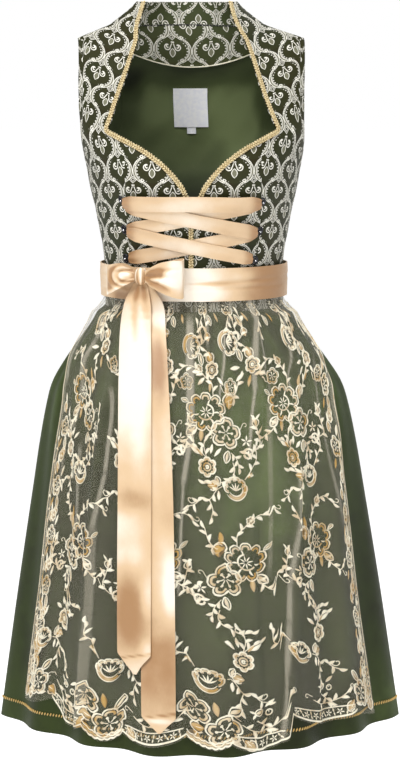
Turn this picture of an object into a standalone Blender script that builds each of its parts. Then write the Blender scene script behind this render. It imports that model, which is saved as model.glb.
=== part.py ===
"""A sleeveless laced dirndl dress in its worn, hollow form.

The frame: +Z up, the front faces -Y, +X is the wearer's left, and the origin lies on the centre line
at the level of the shoulder seams. Every table and size below is in millimetres; closed_body() turns
the points into metres. A cloth piece is a grid of outer points, seen from outside with its columns
from left to right and its rows downward, that gets its wall thickness inward along its own normals.
"""
import functools
import math
from collections import namedtuple

import bmesh
import bpy
from mathutils import Vector

# Driving dimensions
METRES = 0.001
SEAM_GAP = 0.3               # between two pieces that are sewn together
LAYER_GAP = 0.4              # between two layers that lie on each other
SHELL = 1.5                  # bodice and skirt cloth
LINING = 1.0
FACING = 1.0
FACING_GAP = 1.0             # the facing and the label keep clear of the lining's flat faces
RIBBON = 1.0
TULLE = 1.0

SHOULDER_SEAM_DEPTH = 5.0    # the shoulder seam lies this far behind the origin
SHOULDER_TIP = 148.0         # half the shoulder width at the armhole
NECK_BASE = 99.0             # where the shoulder seam meets the collar, from the centre line
COLLAR_TOP = 66.0            # half the collar opening at its upper edge
COLLAR_LEVEL = 36.0
NECK_SEAM_LEVEL = 5.5        # collar seam at the centre back
NECK_SEAM_BACK = 82.0
UNDERARM = -157.0
WAIST_SEAM = -360.0
HEM = -920.0
SHOULDER_ROUND = 150.0       # the height over which the shoulder rounds down into the chest
SHOULDER_SHAPE = 0.65        # below 1 the shoulder is fuller
SHARP_ANGLE = 50             # edges sharper than this many degrees are shaded sharp

CUP_PLACE, CUP_LEVEL = 72.0, -172.0
CUP_WIDTH, CUP_HEIGHT, CUP_RISE = 42.0, 52.0, 7.0

# The torso: half width, depth in front and behind, and how square each section is
Section = namedtuple("Section", "level half_width front back square")
TORSO = (
    Section(60, 150, 55, 78, 2.4),
    Section(36, 150, 55, 78, 2.4),
    Section(0, 153.5, 62, 82, 2.4),
    Section(-48, 156, 78, 93, 2.4),
    Section(-90, 156, 98, 101, 2.4),
    Section(-130, 152, 121, 104, 2.4),
    Section(-145, 147.5, 127, 104.5, 2.4),
    Section(UNDERARM, 144.2, 131, 104, 2.4),
    Section(-183, 139.2, 133, 101, 2.35),
    Section(-209, 134.8, 127, 96, 2.3),
    Section(-236, 128.4, 116, 90.5, 2.25),
    Section(-262, 123.9, 106, 86, 2.2),
    Section(-288, 119, 99, 82.5, 2.1),
    Section(-318, 117.2, 94.5, 81, 2.05),
    Section(-346, 117.2, 93.5, 82, 2.0),
    Section(WAIST_SEAM, 117.5, 94, 83, 2.0),
)

# The ridge where front and back meet: shoulder seam and side of the collar
Ridge = namedtuple("Ridge", "reach level")
RIDGE = (
    Ridge(40, 62), Ridge(COLLAR_TOP, COLLAR_LEVEL), Ridge(75, 26.5), Ridge(85.6, 17),
    Ridge(NECK_BASE, 7.9), Ridge(112, 2.5), Ridge(129, -3.7), Ridge(150, -11.8), Ridge(160, -16),
)

# The armhole edge stands almost upright: half the distance across at each level
Armhole = namedtuple("Armhole", "level reach")
ARMHOLE = (
    Armhole(-8, SHOULDER_TIP), Armhole(-44, 147.5), Armhole(-92, 146.4), Armhole(-118, 145.6),
    Armhole(-131, 145.3), Armhole(-141, 144.8), Armhole(-150, 144.0), Armhole(UNDERARM, 144.2),
)

# The dress hangs with a slight sway of its centre line
Sway = namedtuple("Sway", "level shift")
SWAY = (
    Sway(36, -8), Sway(10, -8), Sway(-4, -5.5), Sway(-16, -2.2), Sway(-92, -2.2),
    Sway(-118, -1.2), Sway(-170, 0.3), Sway(WAIST_SEAM, 1.2), Sway(-408, 2.9),
    Sway(-489, 5.4), Sway(-680, 7.4), Sway(HEM, 8.9),
)

# Rows of the side front panel: its inner edge is the neckline down to the corner, then the princess
# seam; its outer edge climbs from the collar along the shoulder seam, then follows armhole and side
SideRow = namedtuple("SideRow", "inner_reach inner_level outer_reach outer_level")
SIDE_TOP_ROWS = (
    SideRow(53.5, 34, COLLAR_TOP, None),
    SideRow(57.5, 19, 77, None),
    SideRow(63, 3, 89, None),
    SideRow(67.5, -11, 104, None),
    SideRow(73, -27, 125, None),
    SideRow(78.5, -44, SHOULDER_TIP, None),
    SideRow(84, -61, None, -34),
    SideRow(89.5, -78, None, -56),
    SideRow(95.5, -95, None, -80),
    SideRow(101.5, -112, None, -104),
    SideRow(107.5, -126.5, None, -124),
    SideRow(98.5, -130.8, None, -140),
)
PrincessRow = namedtuple("PrincessRow", "level reach side_level")
PRINCESS = (
    PrincessRow(-136, 87.8, -150.5),
    PrincessRow(-149, 87, UNDERARM),
    PrincessRow(-164, 87, -176),
    PrincessRow(-181, 87, -196),
    PrincessRow(-199, 87, -217),
    PrincessRow(-219, 86.5, -239),
    PrincessRow(-242, 86, -258),
    PrincessRow(-268, 84.5, -280),
    PrincessRow(-298, 82, -306),
    PrincessRow(-329, 81, -333),
    PrincessRow(WAIST_SEAM, 80.5, WAIST_SEAM),
)

# The sweetheart edge of the cup, then the closed centre front, one point for each princess row
CupRow = namedtuple("CupRow", "reach level")
SWEETHEART = (
    CupRow(80, -139.8), CupRow(66, -147), CupRow(51, -156.5), CupRow(36, -168.5), CupRow(22.5, -182.5),
    CupRow(11.8, -197), CupRow(5, -212), CupRow(0.8, -232), CupRow(0.7, -275), CupRow(0.7, -318),
    CupRow(0.7, WAIST_SEAM),
)

SIDE_COLUMNS = 7
CUP_COLUMNS = 6
BACK_COLUMNS = 20
SHOULDER_COLUMNS = 4         # of the back's columns, on each shoulder
BACK_BLEND = 0.125           # the share of a back column's height that eases it into the torso
# Levels of the back's rows at the armhole edge and the side seam, the last one at the waist seam
BACK_SIDE_LEVELS = (
    -34, -58, -82, -106, -125, -140, -150.5, UNDERARM, -182, -210, -240, -275, -315, WAIST_SEAM,
)
COLLAR_ROWS = 3
COLLAR_LEAN, COLLAR_FLARE = 2.0, 1.2   # the collar's upper edge leans in; its sides flare downward
FACING_ROWS = 3

# Inside the back
FACING_DROP_CENTRE, FACING_DROP_SIDE = -50.0, -22.0
PIPING_RADIUS, CORD_SIDES = 1.0, 6
LABEL_WIDTH, LABEL_HEIGHT, LABEL_TOP, LABEL_CENTRE = 46.0, 52.0, -79.0, -2.0
SIZE_TAB_WIDTH, SIZE_TAB_HEIGHT = 12.0, 9.0
LABEL_THICKNESS, LABEL_STEPS, TAB_STEPS = 0.6, 4, 2
LABEL_CLEARANCE = 1.5        # between the lining's inner face and the label's middle

# Braid, lacing and hooks
BRAID_WIDTH, BRAID_THICKNESS, BRAID_LIFT, BRAID_STEP = 5.8, 1.7, 1.0, 12.0
BRAID_UNDER_SASH = 20.0      # the centre strip runs on under the sash
BRAID_LEFT_END = -225.0      # below this only the wearer's right edge carries the braid
BRAID_MITRE = 1.4            # the most that a corner widens it
LACE_WIDTH, LACE_STEPS = 20.0, 14
LACE_END_SHARE, LACE_TAPER, LACE_ROUND = 0.42, 16.0, 0.6   # narrow ends that widen over the taper
Hook = namedtuple("Hook", "name place level lift")
HOOKS = (
    Hook("hook_right_top", -90.5, -215.5, 1.1),
    Hook("hook_right_middle", -87.5, -254, 1.4),
    Hook("hook_right_low", -85.5, -292.5, 2.0),
    Hook("hook_left_top", 87.9, -217.5, 1.3),
    Hook("hook_left_middle", 84.6, -256, 1.45),
    Hook("hook_left_low", 78.5, -294.5, 2.0),
)
HOOK_WIDTH, HOOK_HEIGHT, HOOK_WIRE = 8.0, 11.0, 1.0
HOOK_TURNS, HOOK_SIDES = 12, 5
Lace = namedtuple("Lace", "name start_place start_level end_place end_level lift")
LACES = (
    Lace("lacing_rising_top", -83, -253, 82, -219, 3.6),
    Lace("lacing_rising_low", -81, -291, 80, -257, 3.6),
    Lace("lacing_falling_top", -84, -221, 80, -256, 5.4),
    Lace("lacing_falling_low", -82, -256, 74, -291, 5.4),
    Lace("lacing_bar", -86, -216, 83.5, -217, 7.4),
)

# Sash and bow
SASH_TOP, SASH_FOOT = -303.0, -346.0
SASH_THICKNESS = 2.0
SASH_LIFT_FRONT, SASH_LIFT_BACK = 6.4, 3.4   # in front it lies over the braid and the apron's edge
SASH_BLEND, SASH_BLEND_AT = 3.0, 0.6         # how fast, and how far round, one lift turns into the other
SASH_COLUMNS = 40
SashRow = namedtuple("SashRow", "down swell")
SASH_ROWS = (SashRow(0, 0), SashRow(0.3, 0.9), SashRow(0.65, 0.6), SashRow(1, 0))
KNOT_PLACE, KNOT_LEVEL, KNOT_DEPTH = -66.5, -313.0, -98.4
KNOT_WIDTH, KNOT_HEIGHT, KNOT_THICKNESS = 17.0, 24.0, 15.0
KNOT_RINGS, KNOT_SIDES, KNOT_FULLNESS = 7, 12, 0.7
LOOP_THICKNESS, LOOP_SEAT = 1.2, 2.0         # the loops start this far inside the knot's sides

# The skirt: half width at each level; its depth in front and behind grows with it
SkirtRow = namedtuple("SkirtRow", "level half_width")
SKIRT = (
    SkirtRow(-360.4, 118), SkirtRow(-364, 121.5), SkirtRow(-368, 127), SkirtRow(-374, 131),
    SkirtRow(-381.5, 135.5), SkirtRow(-395, 145), SkirtRow(-408, 155.5), SkirtRow(-435, 175),
    SkirtRow(-462, 191.5), SkirtRow(-489, 200), SkirtRow(-543, 211), SkirtRow(-597, 220),
    SkirtRow(-679, 233.5), SkirtRow(-761, 246.5), SkirtRow(-845, 259), SkirtRow(HEM, 270),
)
SKIRT_LEVELS = (-360.4, -366, -374, -386, -404, -432, -468, -520, -600, -700, -810, HEM)
WAIST_FRONT, WAIST_BACK, HEM_FRONT, HEM_BACK = 95.0, 84.0, 196.0, 196.0
WAIST_ROUND, HEM_ROUND = 0.5, 1.0
SKIRT_COLUMNS = 48
SECTION_STEPS = 90
LEAST_SHARE = 1e-6
GATHERS, GATHER_DEPTH = 12, 2.6
GATHER_AT_SEAM, GATHER_GROWTH = 0.35, 60     # their share at the waist seam, and how fast they grow
GATHER_FADE = 1.5
BROAD_FOLDS, BROAD_DEPTH, BROAD_CREST = 7, 7.0, -0.17
BROAD_TOP, BROAD_GROWTH = -390.0, 0.8        # the broad folds start here and grow down to the hem
SEAM_FADE = 8                                # the higher, the nearer the folds run to the side seams

# The apron: how far round it reaches at each level, as a share of the way from centre front to side
ApronSide = namedtuple("ApronSide", "level reach")
APRON_SIDES = (
    ApronSide(-338, 0.84), ApronSide(-346, 0.87), ApronSide(-360, 0.945), ApronSide(-373, 0.965),
    ApronSide(-390, 0.94), ApronSide(-405, 0.907), ApronSide(-421, 0.88), ApronSide(-436, 0.825),
    ApronSide(-451, 0.773), ApronSide(-480, 0.735), ApronSide(-540, 0.745), ApronSide(-620, 0.765),
    ApronSide(-730, 0.775), ApronSide(-830, 0.81), ApronSide(HEM, 0.835),
)
ApronLift = namedtuple("ApronLift", "level lift")
APRON_LIFT = (
    ApronLift(-338, 3.3), ApronLift(-346, 3.6), ApronLift(-352, 4.6), ApronLift(-357, 7.0),
    ApronLift(-362, 8.5), ApronLift(-370, 7.5), ApronLift(-381, 6.5), ApronLift(-500, 5.5),
    ApronLift(HEM, 5.0),
)
APRON_TOP = -338.0
APRON_COLUMNS = 64
APRON_ROWS = (0, 0.016, 0.032, 0.046, 0.065, 0.095, 0.14, 0.21, 0.32, 0.46, 0.62, 0.80, 1)
FOLD_GROWTH = 8              # how fast an apron fold rises from its upper end
# Pleats and soft folds of the apron: the place where each starts and the place that it runs down to,
# as a share of the way round from the centre front to the side seam
ApronFold = namedtuple("ApronFold", "top_place low_place top_level low_level height width")
APRON_FOLDS = (
    ApronFold(-0.71, -0.565, -352, -600, 6, 0.035),
    ApronFold(-0.43, -0.485, -400, -640, 8, 0.022),
    ApronFold(-0.04, -0.085, -352, -700, 4, 0.028),
    ApronFold(0.088, 0.065, -350, -450, 4, 0.028),
    ApronFold(0.29, 0.105, -350, -457, 4, 0.026),
    ApronFold(0.453, 0.228, -352, -535, 5, 0.024),
    ApronFold(0.735, 0.488, -358, -470, 5, 0.030),
    ApronFold(0.375, 0.300, -440, -683, 4, 0.030),
    ApronFold(0.48, 0.330, -520, -900, 9, 0.020),
    ApronFold(0.80, 0.640, -358, -700, 5, 0.035),
)
# Its lower edge: arcs between flower corners, with the levels of their ends and how far they sag
Scallop = namedtuple("Scallop", "start end start_level end_level sag")
SCALLOPS = (
    Scallop(-0.835, -0.666, -882, -871, 4), Scallop(-0.666, -0.468, -871, -894, 15),
    Scallop(-0.468, -0.309, -894, -898, 15), Scallop(-0.309, -0.050, -898, -894, 12),
    Scallop(-0.050, 0.113, -894, -902, 12), Scallop(0.113, 0.335, -902, -903, 15),
    Scallop(0.335, 0.356, -903, -874, 0), Scallop(0.356, 0.680, -874, -889, 14),
    Scallop(0.680, 0.835, -889, -905, 2),
)
SAG_SHAPE = 0.8              # below 1 the arcs hang fuller than a sine

# The hanging ends of the bow: the right and left edge of each at its levels, then the point
TailRow = namedtuple("TailRow", "level right left lift")
FRONT_TAIL = (
    TailRow(-319, -73, -62, 10.2), TailRow(-328, -79, -58, 12.8), TailRow(-350, -89, -54.5, 17),
    TailRow(-383, -94, -54, 17), TailRow(-430, -95, -53, 16.5), TailRow(-500, -95.5, -53, 16.5),
    TailRow(-580, -96, -53, 16.5), TailRow(-680, -97, -53.5, 16.5), TailRow(-789, -97, -54, 16.5),
    TailRow(-802, -86, -65, 16.5), TailRow(-814, -76, -72, 16.5),
)
BACK_TAIL = (
    TailRow(-318, -70, -61, 8.6), TailRow(-328, -74, -52, 10.5), TailRow(-350, -78, -38, 13.5),
    TailRow(-383, -78, -35, 13.5), TailRow(-430, -75, -32, 13.5), TailRow(-500, -72, -28.5, 13.5),
    TailRow(-580, -69, -25.5, 13.5), TailRow(-680, -67.5, -23.5, 13.5), TailRow(-780, -66.5, -22.5, 13.5),
    TailRow(-869, -66, -22, 13.5), TailRow(-879, -54, -33, 13.5), TailRow(-888, -45, -41, 13.5),
)
FRONT_TAIL_CROWN, BACK_TAIL_CROWN = 1.2, 0.3
# The bow's loops: how far out from the knot, the upper and lower edge from its middle, and how deep
LoopRow = namedtuple("LoopRow", "out top foot depth")
RIGHT_LOOP = (
    LoopRow(1.2, 7, -7, -5.2), LoopRow(9, 11, -10, -9), LoopRow(22, 15, -17, -11),
    LoopRow(34, 14, -23, -9), LoopRow(43, 10, -26, -4), LoopRow(46, 8, -24, 2),
    LoopRow(43, 11, -22, 6), LoopRow(34, 14, -18, 8), LoopRow(22, 14, -13, 7.5),
    LoopRow(10, 10, -9, 6.5), LoopRow(1.2, 6, -6, 5),
)
LEFT_LOOP = (
    LoopRow(1.2, 7, -7, -5.2), LoopRow(10, 12, -12, -10), LoopRow(25, 19, -18, -14),
    LoopRow(40, 22, -24, -12), LoopRow(50, 22, -27, -5), LoopRow(52, 23, -26, 2),
    LoopRow(49, 24, -22, 7), LoopRow(38, 22, -17, 9), LoopRow(24, 18, -12, 8),
    LoopRow(11, 12, -8, 6.5), LoopRow(1.2, 6, -6, 5),
)
RIGHT_LOOP_WAY, LEFT_LOOP_WAY = Vector((-0.87, 0.49, 0)), Vector((0.935, -0.355, 0))

# The wearer's right is on the frame's -X side
SIDES = (("right", -1), ("left", 1))

# Colours and finishes
Finish = namedtuple("Finish", "colour roughness metallic")
JACQUARD = Finish((0.16, 0.15, 0.06, 1), 0.6, 0)
GREEN_SATIN = Finish((0.05, 0.085, 0.035, 1), 0.4, 0)
APRON_TULLE = Finish((0.62, 0.58, 0.42, 1), 0.7, 0)
CHAMPAGNE = Finish((0.85, 0.66, 0.44, 1), 0.35, 0)
GIMP = Finish((0.72, 0.58, 0.33, 1), 0.6, 0)
PALE_WEAVE = Finish((0.8, 0.8, 0.86, 1), 0.7, 0)
DARK_METAL = Finish((0.04, 0.04, 0.045, 1), 0.35, 1)


def start_empty():
    """Clear the scene."""
    for item in list(bpy.data.objects):
        bpy.data.objects.remove(item, do_unlink=True)


def read(rows, where, column):
    """One column of a table at a place between its rows, on a smooth curve. The first column leads."""
    rows = sorted(rows)
    places = [row[0] for row in rows]
    values = [getattr(row, column) for row in rows]
    if where <= places[0]:
        return values[0]
    if where >= places[-1]:
        return values[-1]
    high = next(i for i, place in enumerate(places) if place >= where)
    low = high - 1

    def slope(i):
        before, after = max(i - 1, 0), min(i + 1, len(rows) - 1)
        return (values[after] - values[before]) / (places[after] - places[before])

    span = places[high] - places[low]
    t = (where - places[low]) / span
    rise = values[high] - values[low]
    return (values[low] + rise * t * t * (3 - 2 * t)
            + span * (slope(low) * t * (1 - t) ** 2 - slope(high) * t * t * (1 - t)))


def mix(a, b, t):
    return a + (b - a) * t


def sway(level):
    return read(SWAY, level, "shift")


def ridge_level(reach):
    return read(RIDGE, abs(reach), "level")


def rounding(drop):
    """How far the shoulder has rounded down into the chest, 0 at the ridge and 1 below it."""
    share = min(max(drop / SHOULDER_ROUND, 0), 1)
    return math.sin(math.pi / 2 * share ** SHOULDER_SHAPE)


def torso_share(reach, level):
    """The share of a section's depth that is left at this reach."""
    half = read(TORSO, level, "half_width")
    square = read(TORSO, level, "square")
    out = min(abs(reach) / half, 1)
    return (1 - out ** square) ** (1 / square)


def front_point(reach, level):
    """A point of the bodice front; reach is measured from the swaying centre line."""
    drop = ridge_level(reach) - level
    across = (abs(reach) - CUP_PLACE) / CUP_WIDTH
    down = (level - CUP_LEVEL) / CUP_HEIGHT
    cup = CUP_RISE * math.exp(-across ** 2 - down ** 2)
    depth = read(TORSO, level, "front") * torso_share(reach, level) + cup
    ridge_part = SHOULDER_SEAM_DEPTH * max(1 - drop / SHOULDER_ROUND, 0)
    return Vector((reach + sway(level), ridge_part - depth * rounding(drop), level))


def angle_of(reach, level):
    return math.asin(min(reach / read(TORSO, level, "half_width"), 1))


def normals(grid, wrap=False):
    """Outward unit normals of a grid of points."""
    last_row = len(grid) - 1
    last = len(grid[0]) - 1
    result = []
    for i, row in enumerate(grid):
        line = []
        for j, _ in enumerate(row):
            down = grid[min(i + 1, last_row)][j] - grid[max(i - 1, 0)][j]
            if wrap:
                across = row[(j + 1) % (last + 1)] - row[j - 1]
            else:
                across = row[min(j + 1, last)] - row[max(j - 1, 0)]
            line.append(down.cross(across).normalized())
        result.append(line)
    return result


def side_seams(columns):
    """Pins the left and right edge of a grid to the plane of the side seams."""
    return lambda i, j: "y" if j in (0, columns - 1) else None


def moved(grid, distance, pin=None, wrap=False):
    """The grid moved out along its normals. pin(i, j) names the axes that a point on a seam doesn't
    move along, so that two pieces that meet there stay on their own sides of it."""
    directions = normals(grid, wrap)
    result = []
    for i, row in enumerate(grid):
        line = []
        for j, point in enumerate(row):
            direction = directions[i][j].copy()
            for axis in (pin(i, j) or "") if pin else "":
                setattr(direction, axis, 0)
            direction.normalize()
            line.append(point + direction * distance)
        result.append(line)
    return result


def make_material(name, finish):
    material = bpy.data.materials.get(name)
    if material is None:
        material = bpy.data.materials.new(name)
        material.use_nodes = True
        shader = material.node_tree.nodes["Principled BSDF"]
        shader.inputs["Base Color"].default_value = finish.colour
        shader.inputs["Roughness"].default_value = finish.roughness
        shader.inputs["Metallic"].default_value = finish.metallic
    return material


def closed_body(name, points, faces, material, finish):
    """One closed body from points in millimetres."""
    work = bmesh.new()
    for point in points:
        work.verts.new(point * METRES)
    work.verts.ensure_lookup_table()
    for face in faces:
        work.faces.new([work.verts[i] for i in face])
    bmesh.ops.recalc_face_normals(work, faces=work.faces)
    mesh = bpy.data.meshes.new(name)
    work.to_mesh(mesh)
    work.free()
    mesh.shade_smooth()
    mesh.set_sharp_from_angle(angle=math.radians(SHARP_ANGLE))
    mesh.materials.append(make_material(material, finish))
    thing = bpy.data.objects.new(name, mesh)
    bpy.context.scene.collection.objects.link(thing)
    return thing


def wall(name, outer, thickness, material, finish, pin=None, wrap=False):
    """A cloth piece: the outer grid, the same grid moved in by its thickness, and the edges between.
    Both sides are split along the same diagonals, so layered pieces stay parallel."""
    inner = moved(outer, -thickness, pin, wrap)
    rows, columns = len(outer), len(outer[0])
    points = [point for row in outer for point in row] + [point for row in inner for point in row]
    offset = rows * columns
    faces = []
    steps = columns if wrap else columns - 1
    for i in range(rows - 1):
        for j in range(steps):
            k = (j + 1) % columns
            a, b = i * columns + j, i * columns + k
            c, d = (i + 1) * columns + k, (i + 1) * columns + j
            faces += [(a, d, c), (a, c, b)]
            faces += [(offset + a, offset + c, offset + d), (offset + a, offset + b, offset + c)]
    rim = [(0, j) for j in range(columns)]
    foot = [(rows - 1, j) for j in reversed(range(columns))]
    if wrap:
        loops = [rim, foot]
    else:
        right = [(i, columns - 1) for i in range(1, rows - 1)]
        left = [(i, 0) for i in range(rows - 2, 0, -1)]
        loops = [rim + right + foot + left]
    for loop in loops:
        indices = [i * columns + j for i, j in loop]
        for a, b in zip(indices, indices[1:] + indices[:1]):
            faces += [(a, b, offset + b), (a, offset + b, offset + a)]
    return closed_body(name, points, faces, material, finish)


# Bodice fronts

def side_rows():
    """Inner and outer ends of each row of the side front: (reach, level) pairs."""
    ends = []
    for row in SIDE_TOP_ROWS:
        if row.outer_level is None:
            outer = (row.outer_reach, ridge_level(row.outer_reach))
        else:
            outer = (side_reach(row.outer_level), row.outer_level)
        ends.append(((row.inner_reach, row.inner_level), outer))
    for row in PRINCESS:
        ends.append(((row.reach + SEAM_GAP, row.level), (side_reach(row.side_level), row.side_level)))
    return ends


def side_reach(level):
    """How far out the armhole edge or the side seam lies at a level."""
    if level > UNDERARM:
        return read(ARMHOLE, level, "reach")
    return read(TORSO, level, "half_width")


def front_row(inner, outer, columns, sign):
    """One row of points across a front panel, evenly spaced by angle round the body."""
    start, end = angle_of(*inner), angle_of(*outer)
    points = []
    for j in range(columns + 1):
        share = j / columns
        level = mix(inner[1], outer[1], share)
        if share == 1:
            reach = outer[0]
        else:
            reach = read(TORSO, level, "half_width") * math.sin(mix(start, end, share))
        points.append(front_point(sign * reach, level))
    return points


def side_front(sign):
    grid = [front_row(inner, outer, SIDE_COLUMNS, sign) for inner, outer in side_rows()]
    for row in grid:
        row[-1].y -= SEAM_GAP
    return grid if sign > 0 else [list(reversed(row)) for row in grid]


def cup_front(sign):
    grid = []
    for cup, princess in zip(SWEETHEART, PRINCESS):
        inner, outer = (cup.reach, cup.level), (princess.reach - SEAM_GAP, princess.level)
        grid.append(front_row(inner, outer, CUP_COLUMNS, sign))
    return grid if sign > 0 else [list(reversed(row)) for row in grid]


def make_fronts():
    for side, sign in SIDES:
        seam = SIDE_COLUMNS if sign > 0 else 0
        wall("bodice_front_side_" + side, side_front(sign), SHELL, "jacquard", JACQUARD,
             pin=lambda i, j: "y" if j == seam else None)
        wall("bodice_front_centre_" + side, cup_front(sign), SHELL, "jacquard", JACQUARD)


# Bodice back, collar and what lies inside them

def neck_point(turn, level, reach, back):
    """A point of the neck seam or collar edge; turn runs from 0 at the left side to 180 behind."""
    angle = math.radians(turn)
    depth = mix(SHOULDER_SEAM_DEPTH, back, math.sin(angle))
    return Vector((reach * math.cos(angle) + sway(level), depth, level))


def neck_turns():
    count = BACK_COLUMNS - 2 * SHOULDER_COLUMNS
    return [180 * j / count for j in range(count + 1)]


def back_tops():
    """The upper ends of the back's columns, from the wearer's left shoulder tip to the right one."""
    shoulder = [mix(SHOULDER_TIP, NECK_BASE, k / SHOULDER_COLUMNS) for k in range(SHOULDER_COLUMNS)]
    tops = [(reach, ridge_level(reach), SHOULDER_SEAM_DEPTH) for reach in shoulder]
    for turn in neck_turns():
        angle = math.radians(turn)
        level = mix(ridge_level(NECK_BASE), NECK_SEAM_LEVEL, math.sin(angle))
        depth = mix(SHOULDER_SEAM_DEPTH, NECK_SEAM_BACK, math.sin(angle))
        tops.append((NECK_BASE * math.cos(angle), level, depth))
    tops += [(-reach, level, depth) for reach, level, depth in reversed(tops[:SHOULDER_COLUMNS])]
    return tops


def back_point(top, share):
    """A point of the back on the column that starts at top, at this share of the way to the waist."""
    reach, top_level, top_depth = top
    level = mix(top_level, WAIST_SEAM, share)
    tip_angle = angle_of(SHOULDER_TIP, ridge_level(SHOULDER_TIP))
    edge = side_reach(level)
    column_angle = angle_of(abs(reach), top_level) / tip_angle * angle_of(edge, level)
    wide = read(TORSO, level, "half_width") * math.sin(column_angle)
    wide = min(wide, edge)
    depth = read(TORSO, level, "back") * torso_share(wide, level)
    across = mix(reach, math.copysign(wide, reach), min(share / BACK_BLEND, 1))
    return Vector((across + sway(level), mix(top_depth, depth, rounding(top_level - level)), level))


def back_grid():
    tip = ridge_level(SHOULDER_TIP)
    shares = [(tip - level) / (tip - WAIST_SEAM) for level in (tip,) + BACK_SIDE_LEVELS]
    grid = [[back_point(top, share) for top in back_tops()] for share in shares]
    for row in grid:
        row[0].y += SEAM_GAP
        row[-1].y += SEAM_GAP
    for j in range(1, SHOULDER_COLUMNS + 1):
        grid[0][j].y += SEAM_GAP
        grid[0][-1 - j].y += SEAM_GAP
    return grid


def back_pin(i, j):
    """The back's side and shoulder seams lie in an upright plane, its neck seam in a level one."""
    if i == 0 and j in (SHOULDER_COLUMNS, BACK_COLUMNS - SHOULDER_COLUMNS):
        return "yz"
    if i == 0 and SHOULDER_COLUMNS < j < BACK_COLUMNS - SHOULDER_COLUMNS:
        return "z"
    return "y" if i == 0 or j in (0, BACK_COLUMNS) else None


def collar_pin(i, j):
    at_side = j in (0, BACK_COLUMNS - 2 * SHOULDER_COLUMNS)
    return ("y" if at_side else "") + ("z" if i == COLLAR_ROWS else "")


def collar_grid():
    grid = []
    for i in range(COLLAR_ROWS + 1):
        share = i / COLLAR_ROWS
        row = []
        for turn in neck_turns():
            angle = math.radians(turn)
            low_level = mix(ridge_level(NECK_BASE), NECK_SEAM_LEVEL, math.sin(angle)) + SEAM_GAP
            reach = mix(COLLAR_TOP, NECK_BASE, share ** COLLAR_FLARE)
            back = mix(NECK_SEAM_BACK - COLLAR_LEAN, NECK_SEAM_BACK, share)
            row.append(neck_point(turn, mix(COLLAR_LEVEL, low_level, share), reach, back))
        row[0].y += SEAM_GAP
        row[-1].y += SEAM_GAP
        grid.append(row)
    return grid


def make_back():
    grid = back_grid()
    wall("bodice_back", grid, SHELL, "jacquard", JACQUARD, pin=back_pin)
    lining = moved(grid, -(SHELL + LAYER_GAP), back_pin)
    wall("back_lining", lining, LINING, "green_satin", GREEN_SATIN, pin=back_pin)
    collar = collar_grid()
    wall("collar_back", collar, SHELL, "jacquard", JACQUARD, pin=collar_pin)
    make_facing(lining, collar)


def facing_drop(reach):
    share = min(abs(reach) / NECK_BASE, 1)
    return mix(FACING_DROP_CENTRE, FACING_DROP_SIDE, share ** 2)


def down_column(grid, j, level):
    """The point of a grid's column at a level, on the straight line between two of its rows."""
    for upper, lower in zip(grid, grid[1:]):
        if lower[j].z <= level:
            share = (upper[j].z - level) / (upper[j].z - lower[j].z)
            return upper[j].lerp(lower[j], max(share, 0))
    return grid[-1][j].copy()


def make_facing(lining, collar):
    """The neck facing covers the collar's inside and the top of the back, with piping on its edge."""
    columns = range(SHOULDER_COLUMNS, BACK_COLUMNS - SHOULDER_COLUMNS + 1)
    inside = moved(lining, -(LINING + FACING_GAP), back_pin)
    pin = side_seams(len(columns))
    rows = moved(collar[:-1], -(SHELL + LINING + LAYER_GAP + FACING_GAP), pin)
    for step in range(FACING_ROWS + 1):
        row = []
        for j in columns:
            top = inside[0][j]
            drop = facing_drop(top.x - sway(top.z))
            row.append(down_column(inside, j, mix(top.z, drop, step / FACING_ROWS)))
        rows.append(row)
    wall("neck_facing", rows, FACING, "jacquard", JACQUARD, pin=pin)
    seat = moved(rows, -(FACING + LAYER_GAP + PIPING_RADIUS), pin)
    cord("facing_piping", seat[-1], PIPING_RADIUS, "pale_weave", PALE_WEAVE)


def cord(name, path, radius, material, finish):
    """A round cord along a path of points."""
    sides = CORD_SIDES
    points, faces = [], []
    for i, point in enumerate(path):
        along = (path[min(i + 1, len(path) - 1)] - path[max(i - 1, 0)]).normalized()
        first = along.cross(Vector((0, 0, 1))).normalized()
        second = first.cross(along)
        for k in range(sides):
            angle = 2 * math.pi * k / sides
            spoke = first * math.cos(angle) + second * math.sin(angle)
            points.append(point + spoke * radius)
    for i in range(len(path) - 1):
        for k in range(sides):
            a, b = i * sides + k, i * sides + (k + 1) % sides
            faces.append((a, b, b + sides, a + sides))
    faces.append(tuple(reversed(range(sides))))
    faces.append(tuple((len(path) - 1) * sides + k for k in range(sides)))
    return closed_body(name, points, faces, material, finish)


def inside_back(place, level):
    """A point of the lining's inner face at the back, found by the level and the place across."""
    depth = read(TORSO, level, "back") * torso_share(place, level)
    depth = mix(NECK_SEAM_BACK, depth, rounding(NECK_SEAM_LEVEL - level))
    layers = SHELL + LINING + LAYER_GAP + LABEL_CLEARANCE
    return Vector((place + sway(level), depth - layers, level))


def label_grid(width, top, height, steps):
    """Seen from behind, left to right, like the back; it lies on the lining's inner face."""
    places = [LABEL_CENTRE + width * (0.5 - j / steps) for j in range(steps + 1)]
    levels = [top - height * i / steps for i in range(steps + 1)]
    return [[inside_back(place, level) for place in places] for level in levels]


def make_labels():
    label = label_grid(LABEL_WIDTH, LABEL_TOP, LABEL_HEIGHT, LABEL_STEPS)
    wall("woven_label", label, LABEL_THICKNESS, "pale_weave", PALE_WEAVE)
    tab_top = LABEL_TOP - LABEL_HEIGHT - SEAM_GAP
    tab = label_grid(SIZE_TAB_WIDTH, tab_top, SIZE_TAB_HEIGHT, TAB_STEPS)
    wall("size_tab", tab, LABEL_THICKNESS, "pale_weave", PALE_WEAVE)


# Braid, lacing and hooks on the front

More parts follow.
